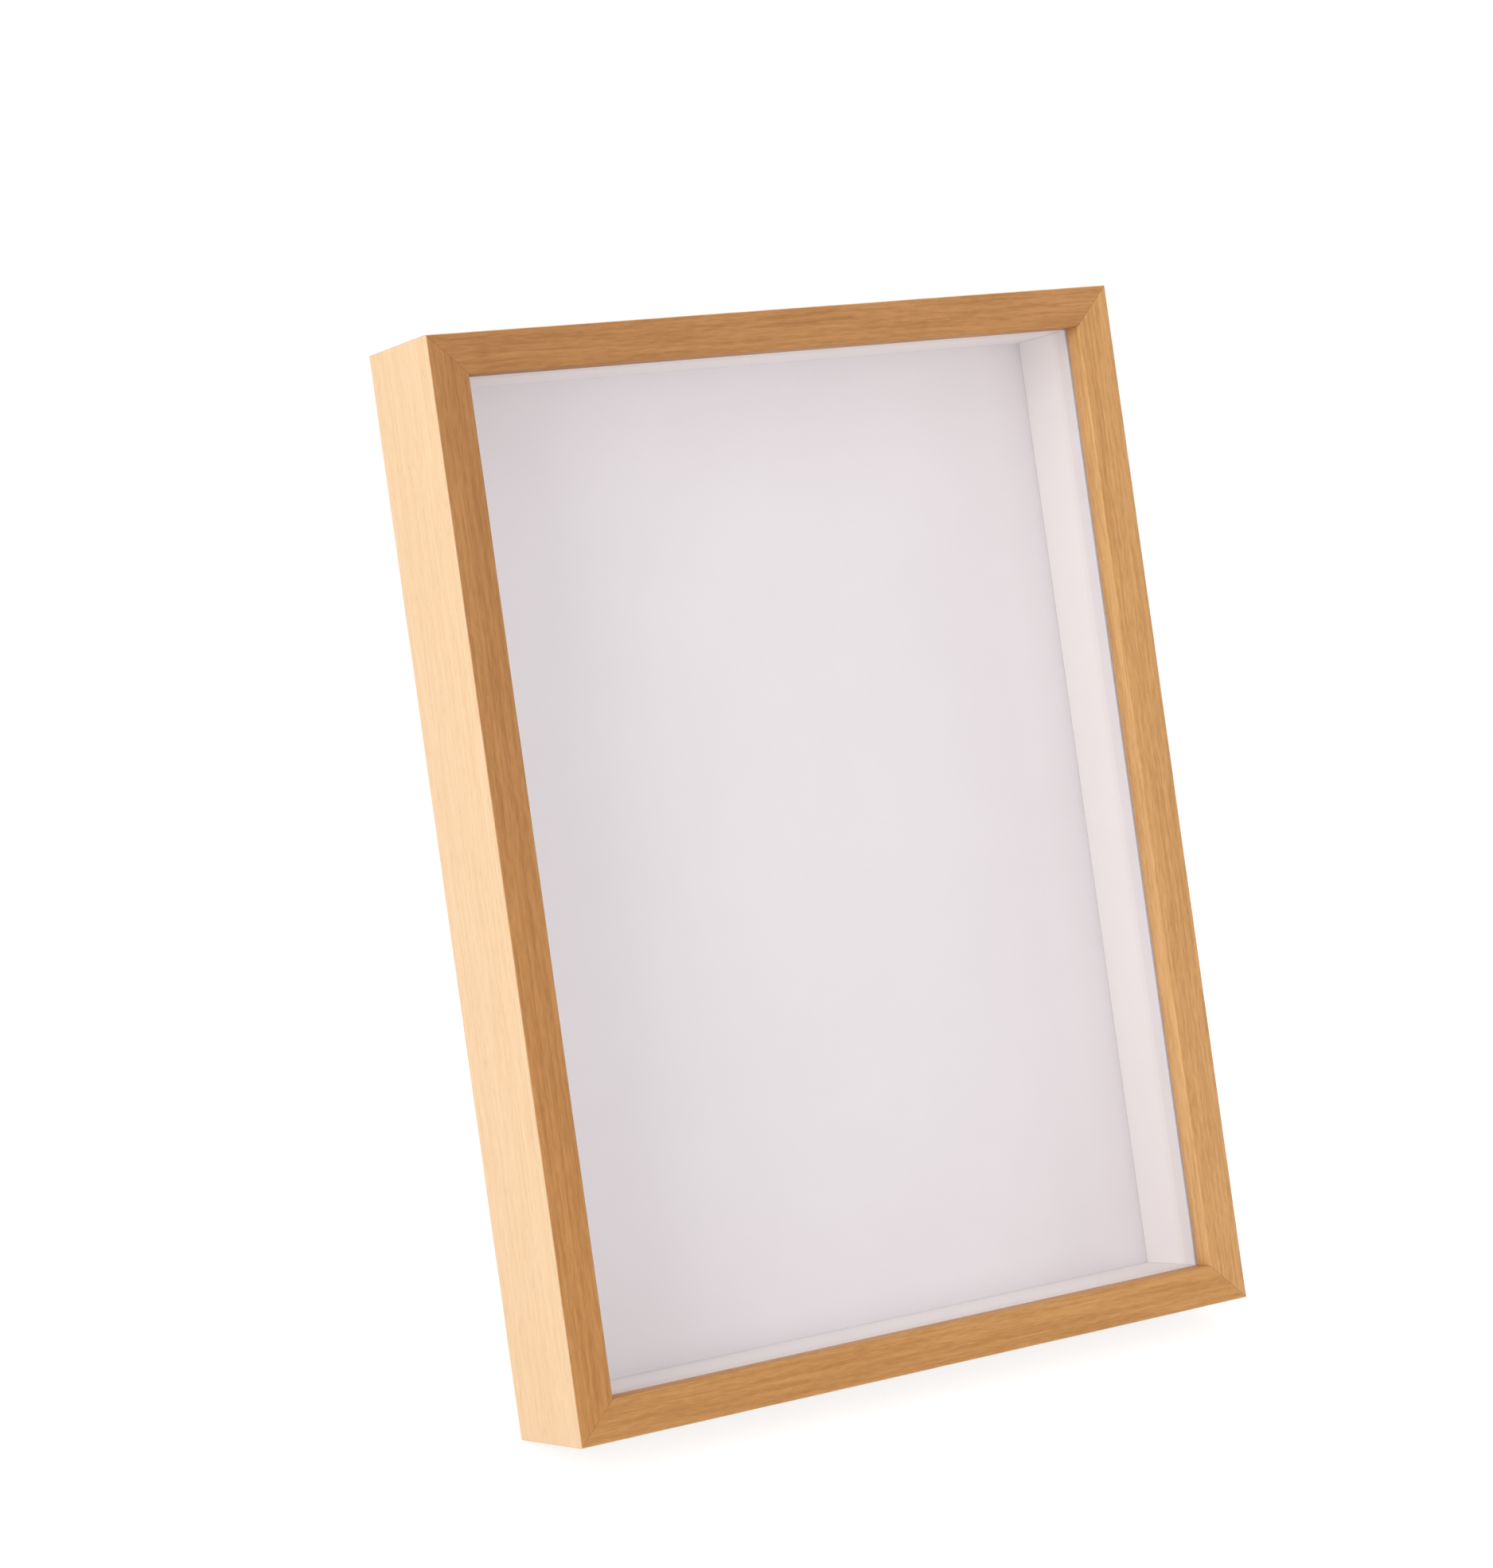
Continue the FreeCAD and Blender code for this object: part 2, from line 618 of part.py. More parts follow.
def make_hinge_pin():
    """The pin, peened over outside the fixed knuckles."""
    body = new_body("hinge_pin")
    section = sketch_on(body, "XY_Plane", "section")
    end = "hinge_width / 2 + pin_end_play"
    tip = f"{end} + pin_head_height"
    right = [(end, "pin_radius"), (end, "pin_head_radius"), (tip, "pin_head_radius"), (tip, "0")]
    left = [(f"-({x})", y) for x, y in reversed(right)]
    polygon(section, right + left)
    turn(body, section, "H_Axis")
    keep(body, HINGE_PLACE)


def make_leg():
    """The tapered easel leg, its foot cut level with the surface when the leg is open."""
    body = new_body("easel_leg")

    def floor(y):
        return f"(-({PIN_HEIGHT} + ({y}) * sin({SPLAY})) / cos({SPLAY}))"

    blank_end = f"-{PIN_HEIGHT} / cos({SPLAY}) - {LEG_OUTER}"
    top = f"-{FIXED_KNUCKLE} - leg_top_gap"
    outline = front_view(body, "outline", LEG_INNER)
    right = [("leg_foot_width / 2", blank_end), ("hinge_width / 2", top)]
    left = [(f"-{x}", z) for x, z in reversed(right)]
    polygon(outline, right + left)
    pad(body, outline, "leg_thickness")

    inner = f"{LEG_INNER} - {CUT_OVERRUN}"
    outer = f"{LEG_OUTER} + {CUT_OVERRUN}"
    below = f"{blank_end} - leg_thickness"
    foot = sketch_on(body, "YZ_Plane", "foot")
    polygon(foot, [(inner, floor(inner)), (inner, below), (outer, below), (outer, floor(outer))])
    pocket(body, foot)

    middle = value(f"-{PIN_HEIGHT} / 2")

    def is_foot_corner(edge):
        low = all(vertex.Z < middle for vertex in edge.Vertexes)
        crossing = abs(edge.Vertexes[-1].Y - edge.Vertexes[0].Y) > value("leg_thickness") / 2
        return low and crossing

    dress(body, "Fillet", "corners", "Radius", "foot_corner_radius", is_foot_corner)
    holes = front_view(body, "holes")
    for x in LEAF_RIVET_X:
        circle(holes, x, f"-{LEAF_RIVET_DROP}", "rivet_radius + rivet_fit")
    pocket(body, holes)
    keep(body, LEG_PLACE)


def make_rivets(label, head_seat, tail_end, places):
    """Domed rivets whose tails are closed at the given depth."""
    rivet = new_body(f"{label}_rivet")
    section = sketch_on(rivet, "XY_Plane", "section")
    tail_seat = f"{tail_end} + rivet_tail_height"
    crown = f"{head_seat} + rivet_head_height"
    tail = [("0", tail_end), ("rivet_tail_radius", tail_end), ("rivet_tail_radius", tail_seat)]
    shank = [("rivet_radius", tail_seat), ("rivet_radius", head_seat)]
    head = [("rivet_head_radius", head_seat), ("rivet_head_radius", crown), ("0", crown)]
    polygon(section, tail + shank + head)
    turn(rivet, section, "V_Axis")
    dress(rivet, "Fillet", "dome", "Radius", "rivet_dome_radius", lambda edge: lies(edge, y=crown))
    copies(label, rivet, places)


def make_hanger_strap(name, x):
    """A strip folded round the ring's wire and riveted to the back."""
    body = new_body(f"hanger_strap_{name}")
    plate = front_view(body, "plate", f"-{STRAP_BARREL}")
    rectangle(plate, "-strap_width / 2", "-strap_length", "strap_width / 2", "0")
    pad(body, plate, "2 * strap_gauge")

    def is_corner(edge):
        return runs(edge, Y_AXIS) and lies(edge, z="-strap_length")

    dress(body, "Fillet", "corners", "Radius", "strap_corner_radius", is_corner)
    fold = sketch_on(body, "YZ_Plane", "fold")
    circle(fold, "0", "0", STRAP_BARREL)
    pad(body, fold, "strap_width", symmetric=True)
    bore = sketch_on(body, "YZ_Plane", "bore")
    circle(bore, "0", "0", "ring_wire_radius + ring_clearance")
    pocket(body, bore)
    hole = front_view(body, "hole")
    circle(hole, "0", f"-{STRAP_RIVET_DROP}", "rivet_radius + rivet_fit")
    pocket(body, hole)
    keep(body, at(x, STRAP_BARREL, HANGER_HEIGHT))


def make_hanger_ring(name, x):
    """A wire triangle that hangs straight down from its strap."""
    body = new_body(f"hanger_ring_{name}")
    path = front_view(body, "path")
    half = "ring_bend_spacing / 2"
    bends = [("0", "-ring_drop"), (half, "-ring_bend_radius"), (f"-{half}", "-ring_bend_radius")]
    belt(path, bends, "ring_bend_radius")
    wire = sketch_on(body, "YZ_Plane", "wire")
    circle(wire, "0", "0", "ring_wire_radius")
    pipe = body.newObject("PartDesign::AdditivePipe", f"{body.Label}_bent")
    pipe.Profile = wire
    pipe.Spine = (path, [])
    document.recompute()
    keep(body, at(x, STRAP_BARREL, HANGER_HEIGHT, axis="1; 0; 0", angle="lean_angle"))


def build():
    """Make every piece of the frame."""
    set_stance()
    for side in SIDES:
        make_rail(side)
        make_spacer(side)
        for end, sign in side.ends:
            make_turn_button(side, end, sign)
    make_corner_wedges()
    make_button_screws()
    make_pane()
    make_display_board()
    make_back()
    make_fixed_leaf()
    make_leg_leaf()
    make_hinge_pin()
    make_leg()
    hinge_spots = board_rivet_spots()[:len(LEAF_RIVET_X)]
    hanger_spots = board_rivet_spots()[len(LEAF_RIVET_X):]
    inside = "-back_thickness"
    make_rivets("hinge_rivets_back", "fixed_leaf_gauge", inside, [at(x, "0", z) for x, z in hinge_spots])
    make_rivets("hanger_rivets", "2 * strap_gauge", inside, [at(x, "0", z) for x, z in hanger_spots])
    leg_spots = [f"{LEG_PLACE} * {at(x, '0', f'-{LEAF_RIVET_DROP}')}" for x in LEAF_RIVET_X]
    make_rivets("hinge_rivets_leg", LEG_OUTER, f"-{LEG_INNER} - rivet_tail_height", leg_spots)
    for name, x in HANGERS:
        make_hanger_strap(name, x)
        make_hanger_ring(name, x)
    document.recompute()


def test():
    """Stop if a feature failed or a piece isn't a sound solid."""
    for thing in document.Objects:
        if {"Invalid", "Error"} & set(thing.State):
            raise ValueError(f"{thing.Label} failed: {thing.State}")
    for piece in nodes:
        shape = piece.Shape
        if shape.isNull() or not shape.isValid() or not shape.Solids:
            raise ValueError(f"{piece.Label} isn't a sound solid")


def write():
    """Write each piece to a file of its own name."""
    os.makedirs("parts", exist_ok=True)
    for piece in nodes:
        piece.Shape.exportStep(f"parts/{piece.Label}.step")


build()
test()
write()
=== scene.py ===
"""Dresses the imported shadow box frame: oak rails, a white display well and a hardboard back on an easel leg.

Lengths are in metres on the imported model's axes. The frame leans back, so it has axes of its own (x to the
right, y to the rear, z up the rails), and each side has grain axes: u along it, w to the rear, v inwards.
"""

from __future__ import annotations

import json
import logging
import math
from dataclasses import dataclass
from enum import Enum

import bpy
import numpy as np
from mathutils import Matrix, Vector


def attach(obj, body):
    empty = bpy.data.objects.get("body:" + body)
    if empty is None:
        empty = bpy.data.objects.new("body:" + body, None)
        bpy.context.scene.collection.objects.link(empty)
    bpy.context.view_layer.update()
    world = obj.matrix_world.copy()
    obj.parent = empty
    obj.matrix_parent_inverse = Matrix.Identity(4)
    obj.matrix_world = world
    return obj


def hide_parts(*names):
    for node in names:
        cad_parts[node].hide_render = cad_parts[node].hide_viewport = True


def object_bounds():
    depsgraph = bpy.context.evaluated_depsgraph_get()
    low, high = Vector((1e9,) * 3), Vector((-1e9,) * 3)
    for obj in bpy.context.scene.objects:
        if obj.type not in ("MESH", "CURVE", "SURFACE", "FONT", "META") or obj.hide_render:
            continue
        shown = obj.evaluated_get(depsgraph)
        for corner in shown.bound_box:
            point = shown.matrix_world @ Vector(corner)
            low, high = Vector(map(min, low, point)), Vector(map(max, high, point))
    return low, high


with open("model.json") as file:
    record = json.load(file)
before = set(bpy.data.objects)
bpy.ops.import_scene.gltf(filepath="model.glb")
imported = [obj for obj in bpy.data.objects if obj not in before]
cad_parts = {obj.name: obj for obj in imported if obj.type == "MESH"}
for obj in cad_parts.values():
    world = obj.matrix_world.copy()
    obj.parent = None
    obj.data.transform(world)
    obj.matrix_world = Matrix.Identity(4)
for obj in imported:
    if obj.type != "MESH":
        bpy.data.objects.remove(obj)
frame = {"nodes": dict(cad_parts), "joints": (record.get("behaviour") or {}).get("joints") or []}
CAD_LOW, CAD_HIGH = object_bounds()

Triple = tuple[float, float, float]
Colour = tuple[float, float, float]
Span = tuple[float, float]

MM = 0.001
TINY = 0.01 * MM
PICTURE_HEIGHT = 1970
SENSOR_HEIGHT = 36.0
SHARP_ANGLE = math.radians(32)
NOISE_STEP: Triple = (7.31, 3.17, 5.71)
NOISE_MIDDLE = 0.5
HARDBOARD_FIBRE: Triple = (4.2 * MM, 0.4 * MM, 0.36 * MM)
WHITE: Colour = (1.0, 1.0, 1.0)
log = logging.getLogger("shadow_box_frame")


def even(size: float) -> Triple:
    """The same number three times, for a length along every axis or a grey."""
    return (size, size, size)


class Laying(Enum):
    """How one colour is laid over another."""

    OVER = "MIX"
    STAIN = "MULTIPLY"


class Wire:
    """A node's output that can stand in Python sums: each operator adds the Math node for it."""

    def __init__(self, bench: Bench, socket: bpy.types.NodeSocket) -> None:
        """Keeps the bench that owns the tree and the socket that the wire starts from."""
        self.bench = bench
        self.socket = socket

    def __add__(self, other: Wire | float) -> Wire:
        """This value plus another."""
        return self.bench.math("ADD", self, other)

    def __radd__(self, other: float) -> Wire:
        """A number plus this value."""
        return self.bench.math("ADD", other, self)

    def __sub__(self, other: Wire | float) -> Wire:
        """This value less another."""
        return self.bench.math("SUBTRACT", self, other)

    def __rsub__(self, other: float) -> Wire:
        """A number less this value."""
        return self.bench.math("SUBTRACT", other, self)

    def __mul__(self, other: Wire | float) -> Wire:
        """This value times another."""
        return self.bench.math("MULTIPLY", self, other)

    def __rmul__(self, other: float) -> Wire:
        """A number times this value."""
        return self.bench.math("MULTIPLY", other, self)

    def __truediv__(self, other: Wire | float) -> Wire:
        """This value divided by another."""
        return self.bench.math("DIVIDE", self, other)

    def __rtruediv__(self, other: float) -> Wire:
        """A number divided by this value."""
        return self.bench.math("DIVIDE", other, self)

    def __abs__(self) -> Wire:
        """This value without its sign."""
        return self.bench.math("ABSOLUTE", self)

    def part(self) -> Wire:
        """The part of this value after the point."""
        return self.bench.math("FRACT", self)

    def most(self, other: Wire | float) -> Wire:
        """The larger of this value and another."""
        return self.bench.math("MAXIMUM", self, other)

    def rise(self, low: float, high: float) -> Wire:
        """A smooth step from 0 at low to 1 at high, or down where low is the larger."""
        sockets = {"Value": self, "From Min": low, "From Max": high}
        return self.bench.node("ShaderNodeMapRange", {"interpolation_type": "SMOOTHSTEP"}, sockets)


@dataclass(frozen=True)
class Layer:
    """One layer of soft noise in a finish.

    Attributes:
        length: how far one blotch runs along each axis.
        detail: octaves of finer noise.
        seed: which part of the noise the layer shows.
        weight: how far the layer shifts the colour.
        depth: how far it moves the surface or bends the growth rings.
        cut: values of the noise between which a spot shows.
    """

    length: Triple
    detail: float
    seed: float = 0.0
    weight: float = 1.0
    depth: float = 0.0
    cut: Span = (0.0, 1.0)

    def spots(self, noise: Wire) -> Wire:
        """The shift of the colour where the layer's noise makes spots."""
        return noise.rise(*self.cut) * self.weight

    def shift(self, noise: Wire) -> Wire:
        """The shift of the colour to either side, which follows the layer's noise."""
        return (noise - NOISE_MIDDLE) * self.weight


class Bench:
    """The node tree of one finish, with short ways to the nodes that the finishes use."""

    def __init__(self, tree: bpy.types.NodeTree) -> None:
        """Clears the tree and keeps it."""
        self.tree = tree
        tree.nodes.clear()

    def node(self, kind: str, settings: dict[str, object] | None = None,
             sockets: dict[str | int, object] | None = None, out: str | int = 0) -> Wire:
        """Adds a node of any type.

        Args:
            kind: the node's type.
            settings: properties of the node, which are set first.
            sockets: values or wires for the inputs, by name or number.
            out: name or number of the output that is wanted.

        Returns:
            A wire from that output.
        """
        node = self.tree.nodes.new(kind)
        for key, value in (settings or {}).items():
            setattr(node, key, value)
        for key, value in (sockets or {}).items():
            socket = node.inputs[key]
            if isinstance(value, Wire):
                self.tree.links.new(value.socket, socket)
            else:
                socket.default_value = (*value, 1.0) if socket.type == "RGBA" else value
        return Wire(self, node.outputs[out] if node.outputs else None)

    def math(self, operation: str, *values: Wire | float) -> Wire:
        """One Math node on the given values."""
        return self.node("ShaderNodeMath", {"operation": operation}, dict(enumerate(values)))

    def vector(self, operation: str, first: Wire, second: Wire | Triple) -> Wire:
        """One Vector Math node on two vectors."""
        return self.node("ShaderNodeVectorMath", {"operation": operation}, {0: first, 1: second})

    def split(self, place: Wire) -> list[Wire]:
        """The three coordinates of a place, each as a value."""
        first = self.node("ShaderNodeSeparateXYZ", None, {0: place})
        return [Wire(self, socket) for socket in first.socket.node.outputs]

    def turned(self, place: Wire, angle: float) -> Wire:
        """A place turned about its y axis, which is the one that points to the rear."""
        sockets = {"Vector": place, "Angle": angle}
        return self.node("ShaderNodeVectorRotate", {"rotation_type": "Y_AXIS"}, sockets)

    def blend(self, factor: Wire | float, first: Wire | Colour, second: Wire | Colour,
              laying: Laying = Laying.OVER) -> Wire:
        """One Mix node on two colours; the factor is how much of the second is laid over the first."""
        settings = {"data_type": "RGBA", "blend_type": laying.value}
        return self.node("ShaderNodeMix", settings, {0: factor, 6: first, 7: second}, out=2)

    def spot(self) -> Wire:
        """Object coordinates."""
        return self.node("ShaderNodeTexCoord", out="Object")

    def place(self, axes: Axes) -> Wire:
        """Object coordinates measured along a set of axes."""
        sockets = {"Vector": self.spot(), "Location": axes.origin, "Rotation": axes.euler()}
        return self.node("ShaderNodeMapping", {"vector_type": "TEXTURE"}, sockets)

    def noise(self, place: Wire, layer: Layer, seed: float = 0.0) -> Wire:
        """Soft noise drawn out along the axes.

        Args:
            place: coordinates.
            layer: the noise's lengths, detail and seed.
            seed: the piece's own seed, which is added to the layer's.

        Returns:
            The noise, about 0.5 on average.
        """
        stretched = self.vector("MULTIPLY", place, tuple(1.0 / length for length in layer.length))
        moved = self.vector("ADD", stretched, tuple((seed + layer.seed) * step for step in NOISE_STEP))
        return self.node("ShaderNodeTexNoise", None, {"Vector": moved, "Scale": 1.0, "Detail": layer.detail})

    def relief(self, height: Wire, depth: float, strength: float = 0.5) -> Wire:
        """A Bump node that raises the surface by depth where height is 1."""
        return self.node("ShaderNodeBump", None, {"Height": height, "Distance": depth, "Strength": strength})

    def shader(self, **sockets: Wire | float | Colour) -> Wire:
        """A Principled shader; underscores in the names stand for spaces."""
        named = {key.replace("_", " "): value for key, value in sockets.items()}
        return self.node("ShaderNodeBsdfPrincipled", None, named)

    def mix_shaders(self, factor: Wire | float, first: Wire, second: Wire) -> Wire:
        """One Mix Shader node."""
        return self.node("ShaderNodeMixShader", None, {0: factor, 1: first, 2: second})

    def ray(self, kind: str) -> Wire:
        """1 for one kind of ray, such as Camera, and 0 for the others."""
        return self.node("ShaderNodeLightPath", out=f"Is {kind} Ray")

    def seen(self) -> Wire:
        """1 for rays from the camera, a reflection or a clear pane, 0 for rays that carry light."""
        return self.ray("Camera").most(self.ray("Glossy")).most(self.ray("Transmission"))

    def close(self, surface: Wire, output: str = "ShaderNodeOutputMaterial") -> None:
        """Links the finished shader to the tree's output node."""
        self.node(output, None, {"Surface": surface})


@dataclass(frozen=True)
class Axes:
    """A set of axes in the model: where they start and how they are turned.

    Attributes:
        origin: the model point that is their zero.
        turn: three rows of the matrix that turns their vectors into the model's.
    """

    origin: Triple
    turn: tuple[Triple, Triple, Triple]

    def model(self, points: np.ndarray) -> np.ndarray:
        """Points on these axes as points of the model."""
        return np.asarray(points) @ np.array(self.turn).T + np.array(self.origin)

    def own(self, points: np.ndarray) -> np.ndarray:
        """Points of the model as points on these axes."""
        return (np.asarray(points) - np.array(self.origin)) @ np.array(self.turn)

    def euler(self) -> Triple:
        """The turn as the angles of a Mapping node."""
        return tuple(Matrix(self.turn).to_euler("XYZ"))

    def span(self, node: bpy.types.Object) -> tuple[np.ndarray, np.ndarray]:
        """Lowest and highest corner of a node on these axes."""
        points = self.own(vertices(node))
        return points.min(axis=0), points.max(axis=0)


class Side(Enum):
    """The four sides of the frame, each with its quarter turns from the bottom one."""

    BOTTOM = 0
    RIGHT = 1
    TOP = 2
    LEFT = 3

    @property
    def word(self) -> str:
        """The side's name as it ends the names of its nodes."""
        return self.name.lower()

    @property
    def upright(self) -> bool:
        """Whether the side runs up the frame."""
        return self in (Side.LEFT, Side.RIGHT)


@dataclass(frozen=True)
class Lean:
    """The leaning frame's own axes and the sizes of its ring of rails.

    Attributes:
        axes: x to the right, y to the rear, z up the rails; zero is the middle of the bottom rear edge.
        width: over the side rails.
        height: over the end rails.
    """

    axes: Axes
    width: float
    height: float

    @classmethod
    def read(cls, nodes: dict[str, bpy.types.Object], joints: list[dict]) -> Lean:
        """Works the axes out from a turn button's shaft and the rails.

        Args:
            nodes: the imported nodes.
            joints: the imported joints.

        Returns:
            The frame's axes and sizes.
        """
        shaft = next(joint["axis"] for joint in joints if joint["name"].startswith("turn_button"))
        lean = math.atan2(-shaft[2], shaft[1])
        cosine, sine = math.cos(lean), math.sin(lean)
        turn = ((1.0, 0.0, 0.0), (0.0, cosine, sine), (0.0, -sine, cosine))
        upright = Axes(even(0.0), turn)
        corners = np.array([upright.span(nodes["rail_" + side.word]) for side in Side])
        low, high = corners[:, 0].min(axis=0), corners[:, 1].max(axis=0)
        origin = upright.model(np.array([(low[0] + high[0]) / 2, high[1], low[2]]))
        return cls(Axes(tuple(map(float, origin)), turn), float(high[0] - low[0]), float(high[2] - low[2]))

    def half_length(self, side: Side) -> float:
        """Half the length of a side's outer face."""
        return (self.height if side.upright else self.width) / 2

    def side_axes(self, side: Side) -> Axes:
        """Axes with u along a side, w to the rear and v inwards from the middle of its outer rear edge.

        Args:
            side: which side.

        Returns:
            The axes, turned from the bottom's by quarter turns about the frame's own y.
        """
        cosine, sine = ((1, 0), (0, 1), (-1, 0), (0, -1))[side.value]
        quarter = np.array([[cosine, 0, -sine], [0, 1, 0], [sine, 0, cosine]], float)
        away = (self.width if side.upright else self.height) / 2
        middle = np.array([0, 0, self.height / 2]) - quarter[:, 2] * away
        turn = np.array(self.axes.turn) @ quarter
        return Axes(tuple(map(float, self.axes.model(middle))), tuple(tuple(map(float, row)) for row in turn))


def vertices(node: bpy.types.Object) -> np.ndarray:
    """Reads a node's vertices.

    Args:
        node: the node.

    Returns:
        Its points, one row each.
    """
    flat = np.empty(len(node.data.vertices) * 3)
    node.data.vertices.foreach_get("co", flat)
    return flat.reshape(-1, 3)


def rounded(corners: np.ndarray, radii: np.ndarray, steps: int) -> tuple[np.ndarray, np.ndarray]:
    """Rounds the square corners of a clockwise outline.

    The arc in a corner C runs about C + r (a + b), where a and b point back and on along its two sides: its
    points are that centre - r (b cos t + a sin t) for t from 0 to a quarter turn.

    Args:
        corners: the outline's corners, one row each.
        radii: the arcs' radii.
        steps: points on each arc.

    Returns:
        The rounded outline and its outward normals.
    """
    back = np.roll(corners, 1, axis=0) - corners
    onward = np.roll(corners, -1, axis=0) - corners
    back /= np.linalg.norm(back, axis=1, keepdims=True)
    onward /= np.linalg.norm(onward, axis=1, keepdims=True)
    angle = np.linspace(0.0, np.pi / 2, steps)[None, :, None]
    spoke = onward[:, None] * np.cos(angle) + back[:, None] * np.sin(angle)
    centre = corners + radii[:, None] * (back + onward)
    outline = centre[:, None] - radii[:, None, None] * spoke
    convex = np.sign(back[:, 0] * onward[:, 1] - back[:, 1] * onward[:, 0])
    return outline.reshape(-1, 2), (-convex[:, None, None] * spoke).reshape(-1, 2)


def squares(number: np.ndarray) -> list[list[int]]:
    """Faces that join the numbered points of a grid in squares."""
    corners = (number[:-1, :-1], number[1:, :-1], number[1:, 1:], number[:-1, 1:])
    return np.stack(corners, axis=-1).reshape(-1, 4).tolist()


def tube_faces(rows: int, columns: int) -> list[list[int]]:
    """Faces of a closed tube of rows of points, with a face over each end.

    Point j of row i is number i * columns + j, and each quad joins it to its next point and its next row.

    Args:
        rows: number of sections.
        columns: points of each section, clockwise as seen from the far end.

    Returns:
        The faces, pointing outwards.
    """
    number = np.arange(rows * columns).reshape(rows, columns)
    around = np.concatenate([number, number[:, :1]], axis=1)
    return [*squares(around), number[0].tolist(), number[-1, ::-1].tolist()]


def lay_mesh(name: str, points: np.ndarray, faces: list[list[int]], smooth: bool = True) -> bpy.types.Object:
    """Puts points and faces into a new object at the origin.

    Args:
        name: the object's name.
        points: rows of places.
        faces: rows of point numbers.
        smooth: whether gentle edges are shaded round.

    Returns:
        The object.
    """
    mesh = bpy.data.meshes.new(name)
    mesh.from_pydata(points.reshape(-1, 3).tolist(), [], faces)
    if smooth:
        mesh.polygons.foreach_set("use_smooth", np.ones(len(mesh.polygons), bool))
        mesh.set_sharp_from_angle(angle=SHARP_ANGLE)
    mesh.update()
    piece = bpy.data.objects.new(name, mesh)
    bpy.context.scene.collection.objects.link(piece)
    return piece


@dataclass(frozen=True)
class Finish:
    """A finish that makes its own material, which bears its name."""

    name: str

    def surface(self, bench: Bench) -> Wire:
        """The finish's shader, made on a bench."""
        raise NotImplementedError

    def material(self) -> bpy.types.Material:
        """Makes the material.

        Returns:
            A new material with the finish's nodes.
        """
        made = bpy.data.materials.new(self.name)
        made.use_nodes = True
        bench = Bench(made.node_tree)
        bench.close(self.surface(bench))
        return made

    def dress(self, *pieces: bpy.types.Object) -> None:
        """Gives the finish to pieces, in place of what they wore.

        Args:
            pieces: the pieces that share the material.
        """
        made = self.material()
        for piece in pieces:
            if not piece.material_slots:
                piece.data.materials.append(made)
            for slot in piece.material_slots:
                slot.material = made


@dataclass(frozen=True)
class Plank:
    """How one rail's colour is scaled: lighter towards the right and the bottom of the frame, and along the
    lip.

    Attributes:
        head, foot: how the front colour differs at the start and the end of the rail.
        lip: how the colour differs along the sanded lip; on the right rail, which faces the left lamp, it is
            mostly painted light.
        seed: which part of the tree the wood comes from.
    """

    head: Colour
    foot: Colour
    lip: Colour
    seed: float


@dataclass(frozen=True)
class Moulding:
    """The sizes of a rail's section, on the rail's grain axes.

    Attributes:
        front: place of the front along the rail's depth.
        face: width of the front.
        wall: thickness of the wood beside the rabbet.
        lip: place of the lip's rear side along the depth.
        arris: radius of the eased edges.
    """

    front: float
    face: float
    wall: float
    lip: float
    arris: float

    @classmethod
    def read(cls, points: np.ndarray) -> Moulding:
        """Reads the section from a packed rail.

        Args:
            points: the rail's vertices on its grain axes.

        Returns:
            The sizes.
        """
        deep, inward = points[:, 1], points[:, 2]
        front, face = deep.min(), inward.max()
        wall = inward[deep > -TINY].max()
        lip = deep[inward > face - TINY].max()
        arris = inward[deep < front + TINY].min()
        return cls(*map(float, (front, face, wall, lip, arris)))


